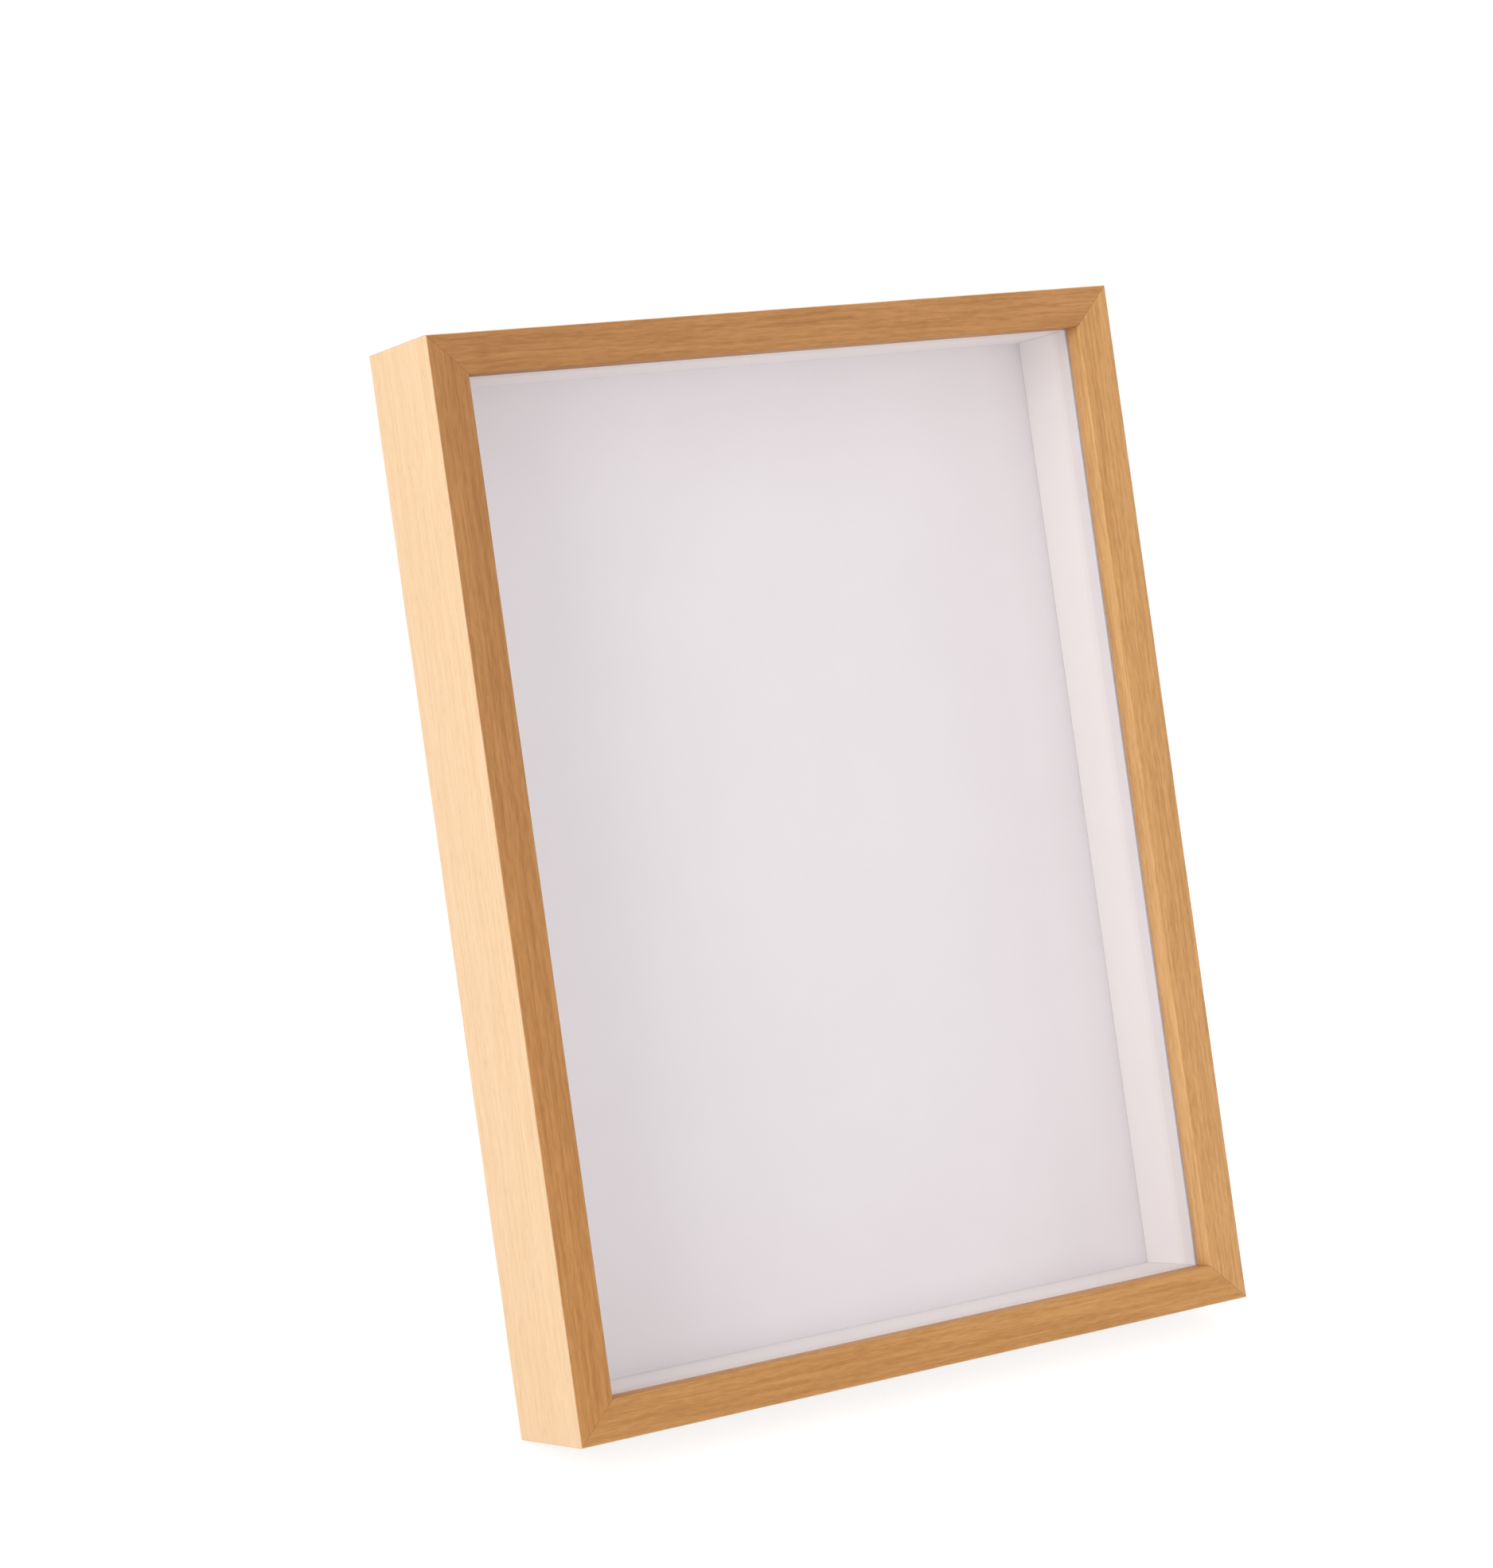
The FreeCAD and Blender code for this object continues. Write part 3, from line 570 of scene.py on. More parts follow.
@dataclass(frozen=True)
class Oak(Finish):
    """Oiled oak with straight grain, paler on the outer faces and sanded lips and raw in the rabbet; all three
    pale tones are partly painted light.

    Attributes:
        half_length: half the rail's outer length, for the seams at its mitres.
        light, dark: the two ends of the grain's colour.
        pale, tan: the same on the outer faces, paler than the front partly as painted light for the strong
            light on the sides.
        raw: the wood round the pane's edge, which no oil has reached; its paleness also paints light into the
            shaded slit behind the lip.
        ring_pitch, ring_slope: width of a growth ring, and how it shifts with depth.
        early_rise, early_fall: where in a ring the porous early wood starts and ends.
        skin: depths at which a face's own colour starts and is full.
        raw_edge, raw_reach: how fast the raw wood starts behind the lip, and where it ends.
    """

    axes: Axes
    half_length: float
    moulding: Moulding
    plank: Plank
    light: Colour = (0.590, 0.285, 0.098)
    dark: Colour = (0.425, 0.184, 0.052)
    pale: Colour = (0.850, 0.600, 0.370)
    tan: Colour = (0.780, 0.520, 0.290)
    raw: Colour = (0.900, 0.780, 0.640)
    pore_brown: Colour = (0.30, 0.13, 0.04)
    seam_brown: Colour = (0.16, 0.07, 0.025)
    drift: Layer = Layer((140.0 * MM, 7.0 * MM, 7.0 * MM), 1.0, 0.0, 0.6, 8.0 * MM)
    wave: Layer = Layer((26.0 * MM, 3.5 * MM, 3.5 * MM), 2.0, 0.2, depth=5.0 * MM)
    streak: Layer = Layer((30.0 * MM, 1.2 * MM, 1.2 * MM), 2.0, 0.4, 1.1)
    fleck: Layer = Layer((4.2 * MM, 0.55 * MM, 0.55 * MM), 1.0, 0.6, 0.9, 0.3)
    fibre: Layer = Layer((14.0 * MM, 0.26 * MM, 0.26 * MM), 2.0, 0.8, 0.7, 0.5)
    pore: Layer = Layer((4.5 * MM, 0.17 * MM, 0.17 * MM), 1.0, 0.9, 0.28, 0.8, (0.60, 0.74))
    ring_pitch: float = 2.7 * MM
    ring_slope: float = 0.62
    early_rise: Span = (0.25, 0.85)
    early_fall: Span = (1.0, 0.88)
    early_weight: float = 0.16
    early_depth: float = 0.12
    late_pores: float = 0.30
    grain_middle: float = 0.42
    grain_span: Span = (-0.1, 1.1)
    skin: Span = (0.45 * MM, 0.10 * MM)
    lip_full: float = 0.45
    raw_edge: float = 0.05 * MM
    raw_reach: Span = (12.0 * MM, 6.0 * MM)
    seam: float = 0.10 * MM
    seam_weight: float = 0.25

    def surface(self, bench: Bench) -> Wire:
        """Wavy growth rings, streaks, flecks, fibres and pores along the rail, darker where two rails meet.

        Args:
            bench: the node tree.

        Returns:
            The shader.
        """
        place = bench.place(self.axes)
        along, deep, inward = bench.split(place)
        layers = (self.drift, self.wave, self.streak, self.fleck, self.fibre, self.pore)
        noises = (bench.noise(place, layer, self.plank.seed) for layer in layers)
        drift, wave, streak, fleck, fibre, hole = noises
        ring = inward + deep * self.ring_slope + drift * self.drift.depth + wave * self.wave.depth
        ring = (ring / self.ring_pitch).part()
        early = ring.rise(*self.early_rise) * ring.rise(*self.early_fall)
        pore = hole.rise(*self.pore.cut) * (self.late_pores + (1.0 - self.late_pores) * early)
        grain = self.grain_middle + self.drift.shift(drift) + self.streak.shift(streak)
        grain = grain + self.fleck.shift(fleck) + self.fibre.shift(fibre) + early * self.early_weight
        grain = grain.rise(*self.grain_span)
        size, (start, full) = self.moulding, self.skin
        # the oiled colour is scaled from one end of the rail to the other, lighter towards the right and the
        # bottom of the frame
        tint = bench.blend((along / self.half_length).rise(-1.0, 1.0), self.plank.head, self.plank.foot)
        oiled = bench.blend(1.0, bench.blend(grain, self.light, self.dark), tint, Laying.STAIN)
        # the lip's inner face is scaled by the rail's lip colour: a paler sanded lip, on the right rail mostly
        # painted light
        lip = inward.rise(size.face - start, size.face - full)
        lip = lip * deep.rise(size.lip, self.lip_full * size.lip + (1.0 - self.lip_full) * size.front)
        oiled = bench.blend(lip, oiled, self.plank.lip, Laying.STAIN)
        # partly painted light: pale raw wood in the rabbet lightens the shaded slit between the lip and the
        # walls
        rabbet = deep.rise(size.lip - self.raw_edge, size.lip)
        rabbet = rabbet * inward.rise(size.wall - start, size.wall - full)
        rabbet = rabbet * deep.rise(*(size.lip + reach for reach in self.raw_reach))
        inside = bench.blend(rabbet, oiled, self.raw)
        # partly painted light: the outer faces take the paler colours, for paler wood and for the strong light
        # on the frame's sides
        colour = bench.blend(inward.rise(start, full), inside, bench.blend(grain, self.pale, self.tan))
        colour = bench.blend(pore * self.pore.weight, colour, self.pore_brown)
        seam = (self.half_length - inward - abs(along)).rise(self.seam, 0.0)
        colour = bench.blend(seam * self.seam_weight, colour, self.seam_brown)
        height = 1.0 - pore * self.pore.depth - (fibre - NOISE_MIDDLE) * self.fibre.depth
        height = height - (fleck - NOISE_MIDDLE) * self.fleck.depth - early * self.early_depth
        return bench.shader(Base_Color=colour, Roughness=0.46 + 0.12 * grain + 0.15 * pore,
                            Specular_IOR_Level=0.35, Normal=bench.relief(height, 0.05 * MM))


@dataclass(frozen=True)
class Strip:
    """What sets one wall's strip of foam board apart from the others, including the light and shade painted on
    it.

    Attributes:
        stand_off: how far the wall's inner face stops short of the display board.
        painted_brightness: painted light, how much whiter its paper is drawn than the plain one.
        pane_shade_share: how much painted shade, cool and a little dark, its front edge takes next to the
            pane.
    """

    stand_off: float
    painted_brightness: float
    pane_shade_share: float


@dataclass(frozen=True)
class FoamBoard(Finish):
    """White foam board: smooth paper on both faces and a slightly grey, porous core between them.

    Attributes:
        inner, outer: where the two paper faces are along the inward axis.
        front: where the strip's front edge is along the depth.
        skin: thickness of the paper.
        paper, foam, pit: colours of the paper, the foam and its open cells.
        painted_pane_shade, pane_shade_reach: what the painted cool shade beside the pane leaves of the paper's
            colour, and how far it reaches.
    """

    axes: Axes
    inner: float
    outer: float
    front: float
    skin: float
    strip: Strip
    paper: Colour = (0.838, 0.785, 0.778)
    foam: Colour = (0.790, 0.715, 0.690)
    pit: Colour = (0.68, 0.62, 0.63)
    painted_pane_shade: Colour = (0.935, 0.958, 1.0)
    pane_shade_reach: Span = (6.5 * MM, 3.5 * MM)
    tooth: Layer = Layer(even(0.6 * MM), 3.0, 0.0, 0.05, 0.25)
    cloud: Layer = Layer(even(20.0 * MM), 2.0, 0.0, 0.12, cut=(0.3, 0.7))
    cell: Layer = Layer(even(0.35 * MM), 0.0, 0.0, 0.5, cut=(0.2, 0.8))

    def surface(self, bench: Bench) -> Wire:
        """Paper tooth on the faces, painted light that whitens some walls' paper, painted cool shade beside
        the pane, open foam cells on the cut edges.

        Args:
            bench: the node tree.

        Returns:
            The shader.
        """
        place = bench.place(self.axes)
        _, deep, inward = bench.split(place)
        core = inward.rise(self.outer, self.outer + self.skin)
        core = core * inward.rise(self.inner, self.inner - self.skin)
        scale = 1.0 / self.cell.length[0]
        cells = bench.node("ShaderNodeTexVoronoi", None, {"Vector": place, "Scale": scale})
        tooth, cloud = (bench.noise(place, layer) for layer in (self.tooth, self.cloud))
        dull = self.cloud.spots(cloud) + tooth * self.tooth.weight
        # painted light: the top and bottom walls' paper is drawn a few percent whiter
        white = tuple(self.strip.painted_brightness * share for share in self.paper)
        # painted shade: a cool, slightly darker band on the side walls along their front edge, next to the
        # pane
        pane_shade = deep.rise(*(self.front + reach for reach in self.pane_shade_reach)) * self.strip.pane_shade_share
        paper = bench.blend(pane_shade, bench.blend(dull, white, self.foam), self.painted_pane_shade, Laying.STAIN)
        foam = bench.blend(self.cell.spots(cells), self.foam, self.pit)
        height = (1.0 - core) * tooth * self.tooth.depth + core * cells
        return bench.shader(Base_Color=bench.blend(core, paper, foam), Roughness=0.62 + 0.2 * core,
                            Specular_IOR_Level=0.3, Normal=bench.relief(height, 0.06 * MM))


@dataclass(frozen=True)
class MountBoard(Finish):
    """White mount board with the tooth and faint clouds of pressed paper, with painted shade along the walls'
    feet.

    Attributes:
        half_width: from the board's middle to the foot of a side wall.
        floor: height of the bottom wall's upper face.
        white, dull: the two ends of the paper's colour.
        grey: what the painted shade along the walls leaves of the colour.
        reach: how far the thin and the thick painted shade reach out from a side wall, and the painted shade
            from the bottom wall.
    """

    axes: Axes
    half_width: float
    floor: float
    white: Colour = (0.838, 0.788, 0.818)
    dull: Colour = (0.805, 0.750, 0.780)
    grey: Colour = (0.880, 0.868, 0.868)
    reach: Triple = (17.0 * MM, 4.25 * MM, 10.2 * MM)
    thin_shade_share: float = 0.6
    tooth: Layer = Layer(even(0.5 * MM), 3.0, depth=0.6)
    fibre: Layer = Layer((0.3 * MM, 2.0 * MM, 2.4 * MM), 2.0, 0.4, 0.2, 0.4, (0.55, 0.8))
    cloud: Layer = Layer(even(30.0 * MM), 2.0, 0.8, 0.4, cut=(0.25, 0.75))

    def surface(self, bench: Bench) -> Wire:
        """Fine tooth, short loose fibres, soft clouds and painted shade along the walls' feet.

        Args:
            bench: the node tree.

        Returns:
            The shader.
        """
        place = bench.place(self.axes)
        across, _, up = bench.split(place)
        # painted shade: the paper is darkened within a few millimetres of the side walls and above the bottom
        # wall
        beside = self.half_width - abs(across)
        thin, thick, above = self.reach
        painted_shade = beside.rise(thin, 0.0) * self.thin_shade_share + beside.rise(thick, 0.0) * (1.0 - self.thin_shade_share)
        painted_shade = painted_shade.most((up - self.floor).rise(above, 0.0) * self.thin_shade_share)
        tooth, fibre, cloud = (bench.noise(place, layer) for layer in (self.tooth, self.fibre, self.cloud))
        share = self.cloud.spots(cloud) + self.fibre.spots(fibre)
        # the painted shade darkens the paper towards the grey
        colour = bench.blend(painted_shade, bench.blend(share, self.white, self.dull), self.grey, Laying.STAIN)
        height = tooth * self.tooth.depth + fibre * self.fibre.depth
        return bench.shader(Base_Color=colour, Roughness=0.7 + 0.1 * tooth, Specular_IOR_Level=0.25,
                            Normal=bench.relief(height, 0.03 * MM))


@dataclass(frozen=True)
class Hardboard(Finish):
    """Brown pressed fibreboard, smooth on its face, with fibres that lie every way.

    Attributes:
        seed: which part of the sheet the piece is cut from.
        brown, dark, straw: colours of the board, its dark fibres and its pale ones.
        fibres: the angles at which the fibres lie and their layers, the dark ones first.
        dark_weight, straw_weight: how far the fibres colour the board.
    """

    axes: Axes
    seed: float = 0.0
    brown: Colour = (0.330, 0.175, 0.082)
    dark: Colour = (0.195, 0.092, 0.040)
    straw: Colour = (0.500, 0.310, 0.165)
    cloud: Layer = Layer(even(26.0 * MM), 3.0, 0.0, 0.22, cut=(0.3, 0.75))
    speck: Layer = Layer(even(0.9 * MM), 3.0, 0.2, 0.5, 0.5, (0.48, 0.72))
    fibres: tuple[tuple[float, Layer], ...] = (
        (0.35, Layer(HARDBOARD_FIBRE, 2.0, 0.0, 0.7, 0.3, (0.58, 0.72))),
        (-0.75, Layer(HARDBOARD_FIBRE, 2.0, 1.0, 0.7, 0.3, (0.59, 0.72))),
        (1.25, Layer(HARDBOARD_FIBRE, 2.0, 2.0, 0.5, 0.0, (0.62, 0.74))),
    )
    dark_weight: float = 0.6
    straw_weight: float = 0.75

    def surface(self, bench: Bench) -> Wire:
        """Mottled brown under dark and straw-coloured fibres in three directions.

        Args:
            bench: the node tree.

        Returns:
            The shader.
        """
        place = bench.place(self.axes)
        cloud, speck = (bench.noise(place, layer, self.seed) for layer in (self.cloud, self.speck))
        height, shown = speck * self.speck.depth, []
        for angle, layer in self.fibres:
            fibre = bench.noise(bench.turned(place, angle), layer, self.seed)
            height = height + fibre * layer.depth
            shown.append(layer.spots(fibre))
        dark = shown[0] + self.speck.spots(speck)
        base = bench.blend(self.cloud.spots(cloud) + dark * self.dark_weight, self.brown, self.dark)
        colour = bench.blend((shown[1] + shown[2]) * self.straw_weight, base, self.straw)
        return bench.shader(Base_Color=colour, Roughness=0.50 + 0.2 * speck, Specular_IOR_Level=0.35,
                            Normal=bench.relief(height, 0.05 * MM))


class Metal(Enum):
    """The metals of the hardware, each with its bright and its dull colour."""

    BARE_STEEL = ((0.50, 0.50, 0.52), (0.30, 0.30, 0.32))
    TUMBLED_STEEL = ((0.52, 0.52, 0.53), (0.33, 0.33, 0.34))
    SCREW_STEEL = ((0.58, 0.56, 0.50), (0.36, 0.34, 0.30))
    RIVET_STEEL = ((0.56, 0.56, 0.57), (0.36, 0.36, 0.37))
    ZINC = ((0.58, 0.59, 0.60), (0.38, 0.39, 0.41))
    NICKEL = ((0.62, 0.59, 0.54), (0.45, 0.43, 0.39))


class Drawn(Enum):
    """Which way the fine lines of the metal run."""

    ACROSS = Layer((8.0 * MM, 0.12 * MM, 0.12 * MM), 2.0, weight=0.8)
    UP = Layer((0.12 * MM, 0.12 * MM, 8.0 * MM), 2.0, weight=0.8)
    EVERY_WAY = Layer(even(1.2 * MM), 2.0, weight=0.8)


@dataclass(frozen=True)
class Steel(Finish):
    """Bare or plated sheet and wire: fine drawn lines, cloudy plating and a few scratches.

    Attributes:
        axes: the axes that the drawn lines follow.
        rough: roughness where it is cleanest.
    """

    axes: Axes
    metal: Metal
    rough: float
    drawn: Drawn = Drawn.ACROSS
    cloud: Layer = Layer(even(4.0 * MM), 3.0, 0.5, 0.7, cut=(0.3, 0.75))
    scratch: Layer = Layer((4.0 * MM, 0.1 * MM, 0.1 * MM), 1.0, 0.8, 0.3, 0.6, (0.70, 0.78))
    scratch_angle: float = 0.7

    def surface(self, bench: Bench) -> Wire:
        """Drawn lines over clouds, dulled in spots.

        Args:
            bench: the node tree.

        Returns:
            The shader.
        """
        place, drawn = bench.place(self.axes), self.drawn.value
        lines, cloud = (bench.noise(place, layer) for layer in (drawn, self.cloud))
        scratch = bench.noise(bench.turned(place, self.scratch_angle), self.scratch).rise(*self.scratch.cut)
        share = self.cloud.spots(cloud) + drawn.shift(lines) + scratch * self.scratch.weight
        colour = bench.blend(share.rise(0.0, 1.0), *self.metal.value)
        height = lines - scratch * self.scratch.depth
        rough = self.rough + 0.14 * cloud + 0.12 * lines
        return bench.shader(Base_Color=colour, Metallic=1.0, Roughness=rough,
                            Normal=bench.relief(height, 0.008 * MM, strength=0.4))


@dataclass(frozen=True)
class ClearGlass(Finish):
    """A clear pane: light passes it freely, eyes and reflections meet smooth glass."""

    tone: Colour = (0.985, 0.99, 0.99)
    index: float = 1.5

    def surface(self, bench: Bench) -> Wire:
        """Smooth glass to the eye, nothing to rays that carry shadow or scattered light.

        Args:
            bench: the node tree.

        Returns:
            The shader.
        """
        glass = bench.shader(Base_Color=self.tone, Roughness=0.0, IOR=self.index, Transmission_Weight=1.0)
        clear = bench.node("ShaderNodeBsdfTransparent")
        seen = bench.mix_shaders(bench.ray("Diffuse"), glass, clear)
        return bench.mix_shaders(bench.ray("Shadow"), seen, clear)


@dataclass(frozen=True)
class PaleFloor(Finish):
    """A white studio floor that keeps a faint shadow and runs out into the white behind it.

    Attributes:
        glow: what the floor gives back whatever falls on it.
        lit: how much of the light on it shows as well.
        near, far: between these distances the shadow fades out.
    """

    glow: float = 0.84
    lit: float = 0.26
    near: float = 0.45
    far: float = 0.90
    greys: Span = (0.84, 0.86)
    tooth: Layer = Layer(even(4.0 * MM), 3.0)

    def surface(self, bench: Bench) -> Wire:
        """Plain white paper to the lamps, brightened to white where it is looked at.

        Args:
            bench: the node tree.

        Returns:
            The shader.
        """
        place = bench.spot()
        distance = bench.node("ShaderNodeVectorMath", {"operation": "LENGTH"}, {0: place}, out="Value")
        grey = bench.blend(bench.noise(place, self.tooth), *map(even, self.greys))
        paper = bench.node("ShaderNodeBsdfDiffuse", None, {"Color": grey})
        faint = bench.node("ShaderNodeBsdfDiffuse", None, {"Color": even(self.lit)})
        glow = bench.node("ShaderNodeEmission", None, {"Color": WHITE, "Strength": self.glow})
        white = bench.node("ShaderNodeEmission", None, {"Color": WHITE, "Strength": 1.0})
        shadowed = bench.node("ShaderNodeAddShader", None, {0: faint, 1: glow})
        looked_at = bench.mix_shaders(distance.rise(self.near, self.far), shadowed, white)
        return bench.mix_shaders(bench.seen(), paper, looked_at)


@dataclass
class SubAssembly:
    """Pieces that are made and dressed together.

    Attributes:
        nodes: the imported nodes.
        lean: the frame's axes.
    """

    nodes: dict[str, bpy.types.Object]
    lean: Lean

    def make(self) -> list[bpy.types.Object]:
        """Builds and dresses the pieces, and lists them."""
        raise NotImplementedError

    def wear(self, *finishes: tuple[Finish, str | tuple[str, ...]]) -> list[bpy.types.Object]:
        """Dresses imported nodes.

        Args:
            finishes: each finish, with what the names of its nodes start with.

        Returns:
            The nodes.
        """
        made = []
        for finish, start in finishes:
            pieces = [node for name, node in self.nodes.items() if name.startswith(start)]
            finish.dress(*pieces)
            made += pieces
        return made


@dataclass
class RailRing(SubAssembly):
    """The four mitred oak rails and the steel wedges in their corners.

    Attributes:
        relief: how far the wood lies below the wedges' edges at the rear.
        seam: depth and width of the eased line where two rails meet.
        wander, wander_mix: how far the sanded arrises wander, and the steady and uneven shares of it.
        waves, phase_step: turns, phases and height of the uneven share's sines, and phase per rail.
        edges: radii at the lip's rear, in the rabbet's corner and at its rear edge.
        planks: the rails' colour scales, in the order of the sides.
    """

    relief: float = 0.03 * MM
    seam: float = 0.07 * MM
    wander: float = 0.07 * MM
    wander_mix: Span = (0.8, 0.18)
    waves: tuple[Triple, ...] = ((9.0, 1.0, 1.0), (23.0, 2.0, 1.0), (47.0, 1.0, 0.7))
    phase_step: float = 1.7
    edges: Triple = (0.2 * MM, 0.15 * MM, 0.2 * MM)
    stations: int = 96
    arc_steps: int = 7
    planks: tuple[Plank, ...] = (
        Plank((1.06, 1.09, 1.03), (1.09, 1.14, 1.10), (1.04, 1.06, 1.08), 1.0),
        # the right rail: much lighter and yellower, its lip mostly painted light
        Plank((1.21, 1.35, 1.53), (1.16, 1.26, 1.33), (1.15, 1.27, 1.34), 2.0),
        Plank((0.98, 0.985, 0.97), (0.845, 0.81, 0.765), (1.04, 1.06, 1.08), 3.0),
        Plank((0.84, 0.815, 0.755), (1.00, 0.985, 0.885), (1.04, 1.06, 1.08), 4.0),
    )

    def moulding(self, side: Side) -> Moulding:
        """The sizes of a rail's section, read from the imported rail."""
        return Moulding.read(self.lean.side_axes(side).own(vertices(self.nodes["rail_" + side.word])))

    def section(self, side: Side) -> tuple[np.ndarray, np.ndarray, np.ndarray]:
        """The rail's outline across its length.

        Args:
            side: which rail.

        Returns:
            The outline in w and v, its outward normals, and 1 where an arris is sanded.
        """
        size, rear = self.moulding(side), -self.relief
        corners = np.array([[rear, 0], [size.front, 0], [size.front, size.face], [size.lip, size.face],
                            [size.lip, size.wall], [rear, size.wall]])
        radii = np.array([size.arris, size.arris, size.arris, *self.edges])
        outline, normals = rounded(corners, radii, self.arc_steps)
        return outline, normals, np.repeat(radii >= size.arris, self.arc_steps).astype(float)

    def build(self, side: Side) -> bpy.types.Object:
        """Carries the section along the rail from mitre to mitre.

        A point at v from the outer face runs to half the length - v, which makes the mitre. The sanded
        arrises sink by a sum of slow sines of u, and the last section at each end is drawn in for the seam.

        Args:
            side: which rail.

        Returns:
            The rail.
        """
        axes, half = self.lean.side_axes(side), self.lean.half_length(side)
        outline, normals, sanded = self.section(side)
        share = np.linspace(-1.0, 1.0, self.stations)
        phase = side.value * self.phase_step
        wave = sum(height * np.sin(turns * share + phases * phase) for turns, phases, height in self.waves)
        steady, uneven = self.wander_mix
        sink = self.wander * (steady + uneven * wave)[:, None] * sanded[None, :]
        body = outline[None] - sink[..., None] * normals[None]
        ends = body[[0, -1]] - self.seam * normals[None]
        rows = np.concatenate([ends[:1], body, ends[1:]])
        reach = half - rows[..., 1]
        reach[1:-1] -= self.seam
        u = np.concatenate([[-1.0], share, [1.0]])[:, None] * reach
        points = axes.model(np.concatenate([u[..., None], rows], axis=-1).reshape(-1, 3))
        return lay_mesh("oak_rail_" + side.word, points, tube_faces(len(rows), len(outline)))

    def make(self) -> list[bpy.types.Object]:
        """Builds and dresses the rails, and dresses the wedges.

        Returns:
            The rails and the wedges.
        """
        made = []
        for side, plank in zip(Side, self.planks):
            rail = self.build(side)
            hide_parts("rail_" + side.word)
            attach(rail, "frame")
            axes, half = self.lean.side_axes(side), self.lean.half_length(side)
            Oak("oak_" + side.word, axes, half, self.moulding(side), plank).dress(rail)
            made.append(rail)
        steel = Steel("wedge_steel", self.lean.axes, Metal.BARE_STEEL, 0.32)
        return [*made, *self.wear((steel, "corner_wedges"))]


@dataclass
class DisplayWell(SubAssembly):
    """The clear pane, the foam board walls behind it and the board that closes the well.

    Attributes:
        skin: thickness of the foam board's paper.
        recess: how far the foam lies below the paper's cut edges.
        nick_depth: depth of the groove along the walls' rear edges, where they stand off the board.
        clearance: how far the walls stop short of the pane.
        strips: the walls' foam board, with their painted light and shade, in the order of the sides.
    """

    skin: float = 0.4 * MM
    recess: float = 0.12 * MM
    nick_depth: float = 0.9 * MM
    clearance: float = 0.04 * MM
    # each wall: its stand-off from the board, the painted light on its paper, and its painted shade beside the
    # pane
    strips: tuple[Strip, ...] = (
        Strip(0.20 * MM, 1.05, 0.0),
        Strip(0.12 * MM, 1.0, 1.0),
        Strip(0.0, 1.08, 0.0),
        Strip(0.12 * MM, 1.0, 1.0),
    )

    def wall(self, side: Side, strip: Strip) -> bpy.types.Object:
        """Builds and dresses one wall: foam board whose core lies a little below its paper at both edges.

        The section is a rectangle with a shallow groove along its front edge and a nick at its rear inner
        corner, carried straight along u.

        Args:
            side: which wall.
            strip: its board.

        Returns:
            The wall.
        """
        axes = self.lean.side_axes(side)
        low, high = axes.span(self.nodes["spacer_" + side.word])
        front, rear = low[1] + self.clearance, high[1]
        outer, inner = low[2], high[2]
        groove = [[front + self.recess, outer + self.skin], [front + self.recess, inner - self.skin]]
        stop = rear - strip.stand_off
        nick = [[stop, inner], [stop, inner - self.nick_depth]]
        hollow = rear - self.recess
        outline = np.array([[rear, outer], [front, outer], [front, outer + self.skin], *groove,
                            [front, inner - self.skin], [front, inner], *nick,
                            [hollow, inner - self.nick_depth], [hollow, outer + self.skin],
                            [rear, outer + self.skin]])
        rows = np.broadcast_to(outline, (2, *outline.shape))
        u = np.broadcast_to(np.array([low[0], high[0]])[:, None], rows.shape[:2])
        points = axes.model(np.concatenate([u[..., None], rows], axis=-1).reshape(-1, 3))
        piece = lay_mesh("foam_wall_" + side.word, points, tube_faces(2, len(outline)), smooth=False)
        FoamBoard("foam_board_" + side.word, axes, inner, outer, front, self.skin, strip).dress(piece)
        return piece

    def make(self) -> list[bpy.types.Object]:
        """Builds and dresses the walls, and dresses the pane and the board.

        Returns:
            The walls, the board and the pane.
        """
        made = []
        for side, strip in zip(Side, self.strips):
            piece = self.wall(side, strip)
            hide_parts("spacer_" + side.word)
            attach(piece, "frame")
            made.append(piece)
        axes = self.lean.axes
        half_width = axes.span(self.nodes["spacer_right"])[0][0]
        floor = axes.span(self.nodes["spacer_bottom"])[1][2]
        board = MountBoard("mount_board", axes, half_width, floor)
        return [*made, *self.wear((board, "display_board"), (ClearGlass("clear_glass"), "glass_pane"))]


@dataclass
class BackPanel(SubAssembly):
    """The hardboard back and the eight steel turn buttons that hold it in."""

    def make(self) -> list[bpy.types.Object]:
        """Dresses the back, the buttons and their screws.

        Returns:
            The pieces.
        """
        axes, screws = self.lean.axes, "turn_button_screws"
        buttons = tuple(name for name in self.nodes if name.startswith("turn_button") and name != screws)
        return self.wear(
            (Hardboard("hardboard_back", axes), "back_board"),
            (Steel("button_steel", axes, Metal.TUMBLED_STEEL, 0.30, Drawn.EVERY_WAY), buttons),
            (Steel("screw_steel", axes, Metal.SCREW_STEEL, 0.26), screws),
        )


@dataclass
class EaselLeg(SubAssembly):
    """The hardboard leg and its sheet-steel hinge."""

    def make(self) -> list[bpy.types.Object]:
        """Dresses the leg, the hinge's leaves, its pin and its rivets, and lists them."""
        axes = self.lean.axes
        return self.wear(
            (Hardboard("hardboard_leg", axes, seed=2.0), "easel_leg"),
            (Steel("hinge_zinc", axes, Metal.ZINC, 0.30), "hinge_leaf"),
            (Steel("pin_nickel", axes, Metal.NICKEL, 0.18), "hinge_pin"),
            (Steel("rivet_steel", axes, Metal.RIVET_STEEL, 0.24), "hinge_rivets"),
        )


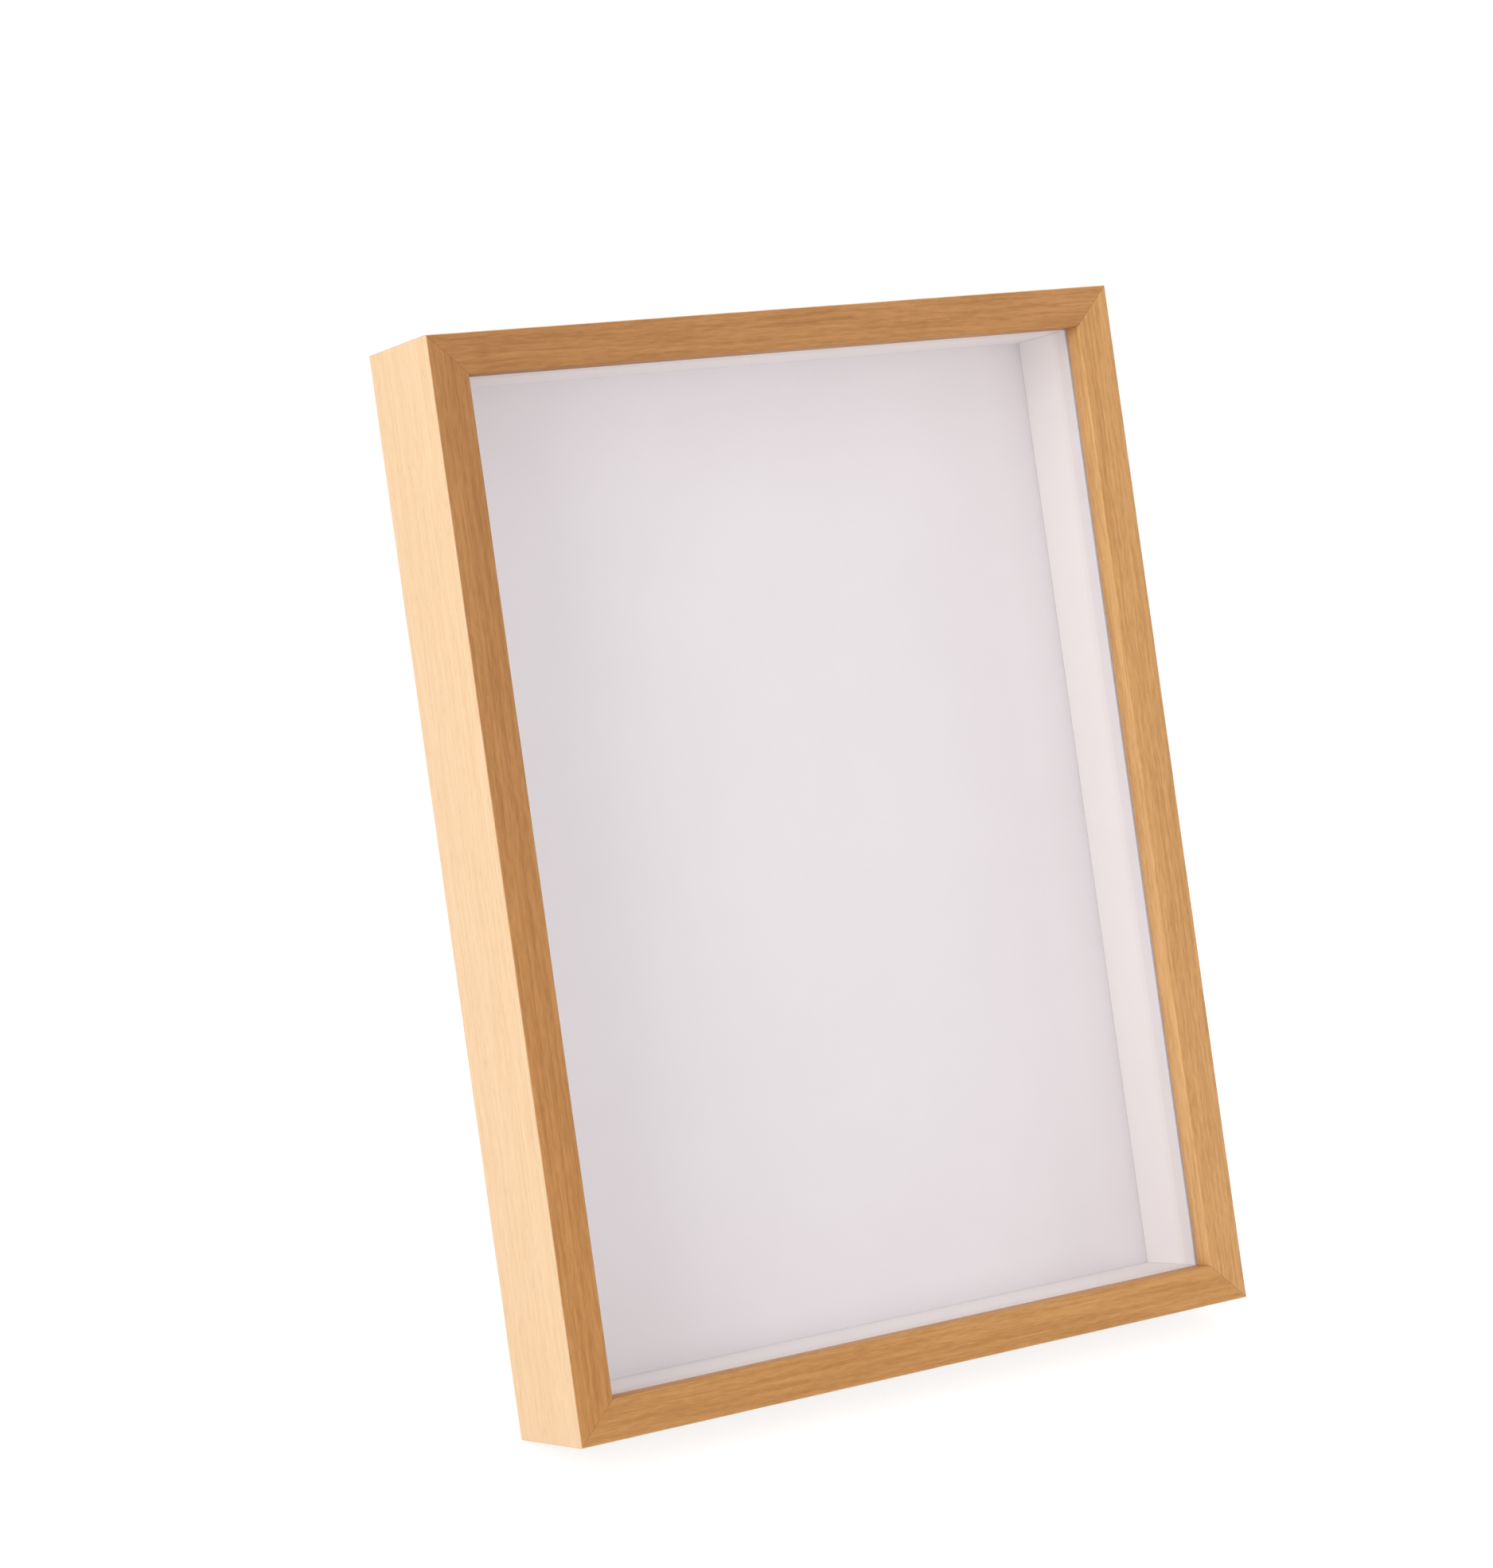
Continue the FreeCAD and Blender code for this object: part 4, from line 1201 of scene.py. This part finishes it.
@dataclass
class Hangers(SubAssembly):
    """The two folded straps with their wire rings and rivets."""

    def make(self) -> list[bpy.types.Object]:
        """Dresses the straps, the rings and the rivets, and lists them."""
        axes = self.lean.axes
        return self.wear(
            (Steel("strap_zinc", axes, Metal.ZINC, 0.30, Drawn.UP), "hanger_strap"),
            (Steel("ring_nickel", axes, Metal.NICKEL, 0.16), "hanger_ring"),
            (Steel("hanger_rivet_steel", axes, Metal.RIVET_STEEL, 0.24), "hanger_rivets"),
        )


@dataclass(frozen=True)
class Lamp:
    """One soft lamp aimed at the frame.

    Attributes:
        azimuth, elevation: degrees round from the front towards the left, and above the floor.
        distance, size: how far it hangs from the frame's middle, and the side of its square face.
        level: share of full light that it gives a surface that faces it.
    """

    name: str
    azimuth: float
    elevation: float
    distance: float
    size: float
    level: float

    def hang(self, target: Vector) -> None:
        """Hangs the lamp and aims it.

        Args:
            target: the point that it lights.
        """
        around, above = math.radians(self.azimuth), math.radians(self.elevation)
        flat = math.cos(above)
        towards = Vector((-math.sin(around) * flat, -math.cos(around) * flat, math.sin(above)))
        data = bpy.data.lights.new(self.name, "AREA")
        data.shape = "SQUARE"
        data.size = self.size
        data.energy = self.level * (math.pi * self.distance) ** 2
        lamp = bpy.data.objects.new(self.name, data)
        lamp.location = target + towards * self.distance
        lamp.rotation_euler = towards.to_track_quat("Z", "Y").to_euler()
        bpy.context.scene.collection.objects.link(lamp)


@dataclass
class Studio:
    """The white floor, the lamps, the white surround and the camera.

    Attributes:
        low, high: the object's box.
        ambient: light that comes evenly from all round.
        yaw, pitch: how far the camera looks to the right of straight ahead, and down.
        focal_pixels: focal length in pixels of the picture.
    """

    low: Vector
    high: Vector
    ambient: float = 0.65
    camera_place: Triple = (-0.62698, -1.01513, 0.45827)
    yaw: float = 30.91
    pitch: float = 13.534
    focal_pixels: float = 5181.0
    clip_start: float = 10.0 * MM
    floor_size: float = 12.0
    floor_cells: int = 8
    lamps: tuple[Lamp, ...] = (
        Lamp("left_lamp", 70.0, 19.0, 2.6, 1.6, 0.37),
        Lamp("front_lamp", 5.0, 18.0, 2.6, 1.2, 0.10),
        Lamp("right_lamp", -62.0, 36.0, 2.6, 1.5, 0.12),
        Lamp("side_lamp", 115.0, 28.0, 2.4, 1.2, 0.12),
        Lamp("rear_lamp", 215.0, 40.0, 2.4, 1.2, 0.28),
    )

    def floor(self) -> bpy.types.Object:
        """Lays the floor: a flat grid of points at the level of the object's feet, joined in squares.

        Returns:
            The floor.
        """
        count = self.floor_cells + 1
        side = np.linspace(-self.floor_size / 2, self.floor_size / 2, count)
        x, y = np.meshgrid(side, side, indexing="ij")
        points = np.stack([x, y, np.full_like(x, self.low.z)], axis=-1)
        number = np.arange(count * count).reshape(count, count)
        floor = lay_mesh("studio_floor", points, squares(number), smooth=False)
        PaleFloor("pale_floor").dress(floor)
        return floor

    def surround(self) -> None:
        """Sets up a world that is white where it is seen and dimmer where it only lights."""
        world = bpy.data.worlds.new("white_surround")
        world.use_nodes = True
        bench = Bench(world.node_tree)
        strength = self.ambient + (1.0 - self.ambient) * bench.seen()
        white = bench.node("ShaderNodeBackground", None, {"Color": WHITE, "Strength": strength})
        bench.close(white, "ShaderNodeOutputWorld")
        bpy.context.scene.world = world

    def camera(self) -> None:
        """Sets the camera up where the photograph was taken from."""
        data = bpy.data.cameras.new("photo_camera")
        data.sensor_fit = "VERTICAL"
        data.sensor_height = SENSOR_HEIGHT
        data.lens = self.focal_pixels * SENSOR_HEIGHT / PICTURE_HEIGHT
        data.clip_start = self.clip_start
        camera = bpy.data.objects.new("photo_camera", data)
        camera.location = self.camera_place
        camera.rotation_euler = (math.radians(90 - self.pitch), 0.0, math.radians(-self.yaw))
        bpy.context.scene.collection.objects.link(camera)
        bpy.context.scene.camera = camera

    def make(self) -> list[bpy.types.Object]:
        """Sets up the floor, the surround, the lamps and the camera.

        Returns:
            The floor.
        """
        floor = self.floor()
        self.surround()
        for lamp in self.lamps:
            lamp.hang((self.low + self.high) / 2)
        self.camera()
        bpy.context.scene.view_settings.view_transform = "Standard"
        return [floor]


def main() -> None:
    """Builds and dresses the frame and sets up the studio."""
    logging.basicConfig(level=logging.INFO, format="%(message)s")
    nodes = frame["nodes"]
    lean = Lean.read(nodes, frame["joints"])
    parts = (RailRing(nodes, lean), DisplayWell(nodes, lean), BackPanel(nodes, lean), EaselLeg(nodes, lean),
             Hangers(nodes, lean), Studio(CAD_LOW, CAD_HIGH))
    for part in parts:
        for piece in part.make():
            log.info("%s: %s, %d faces", type(part).__name__, piece.name, len(piece.data.polygons))


if __name__ == "__main__":
    main()
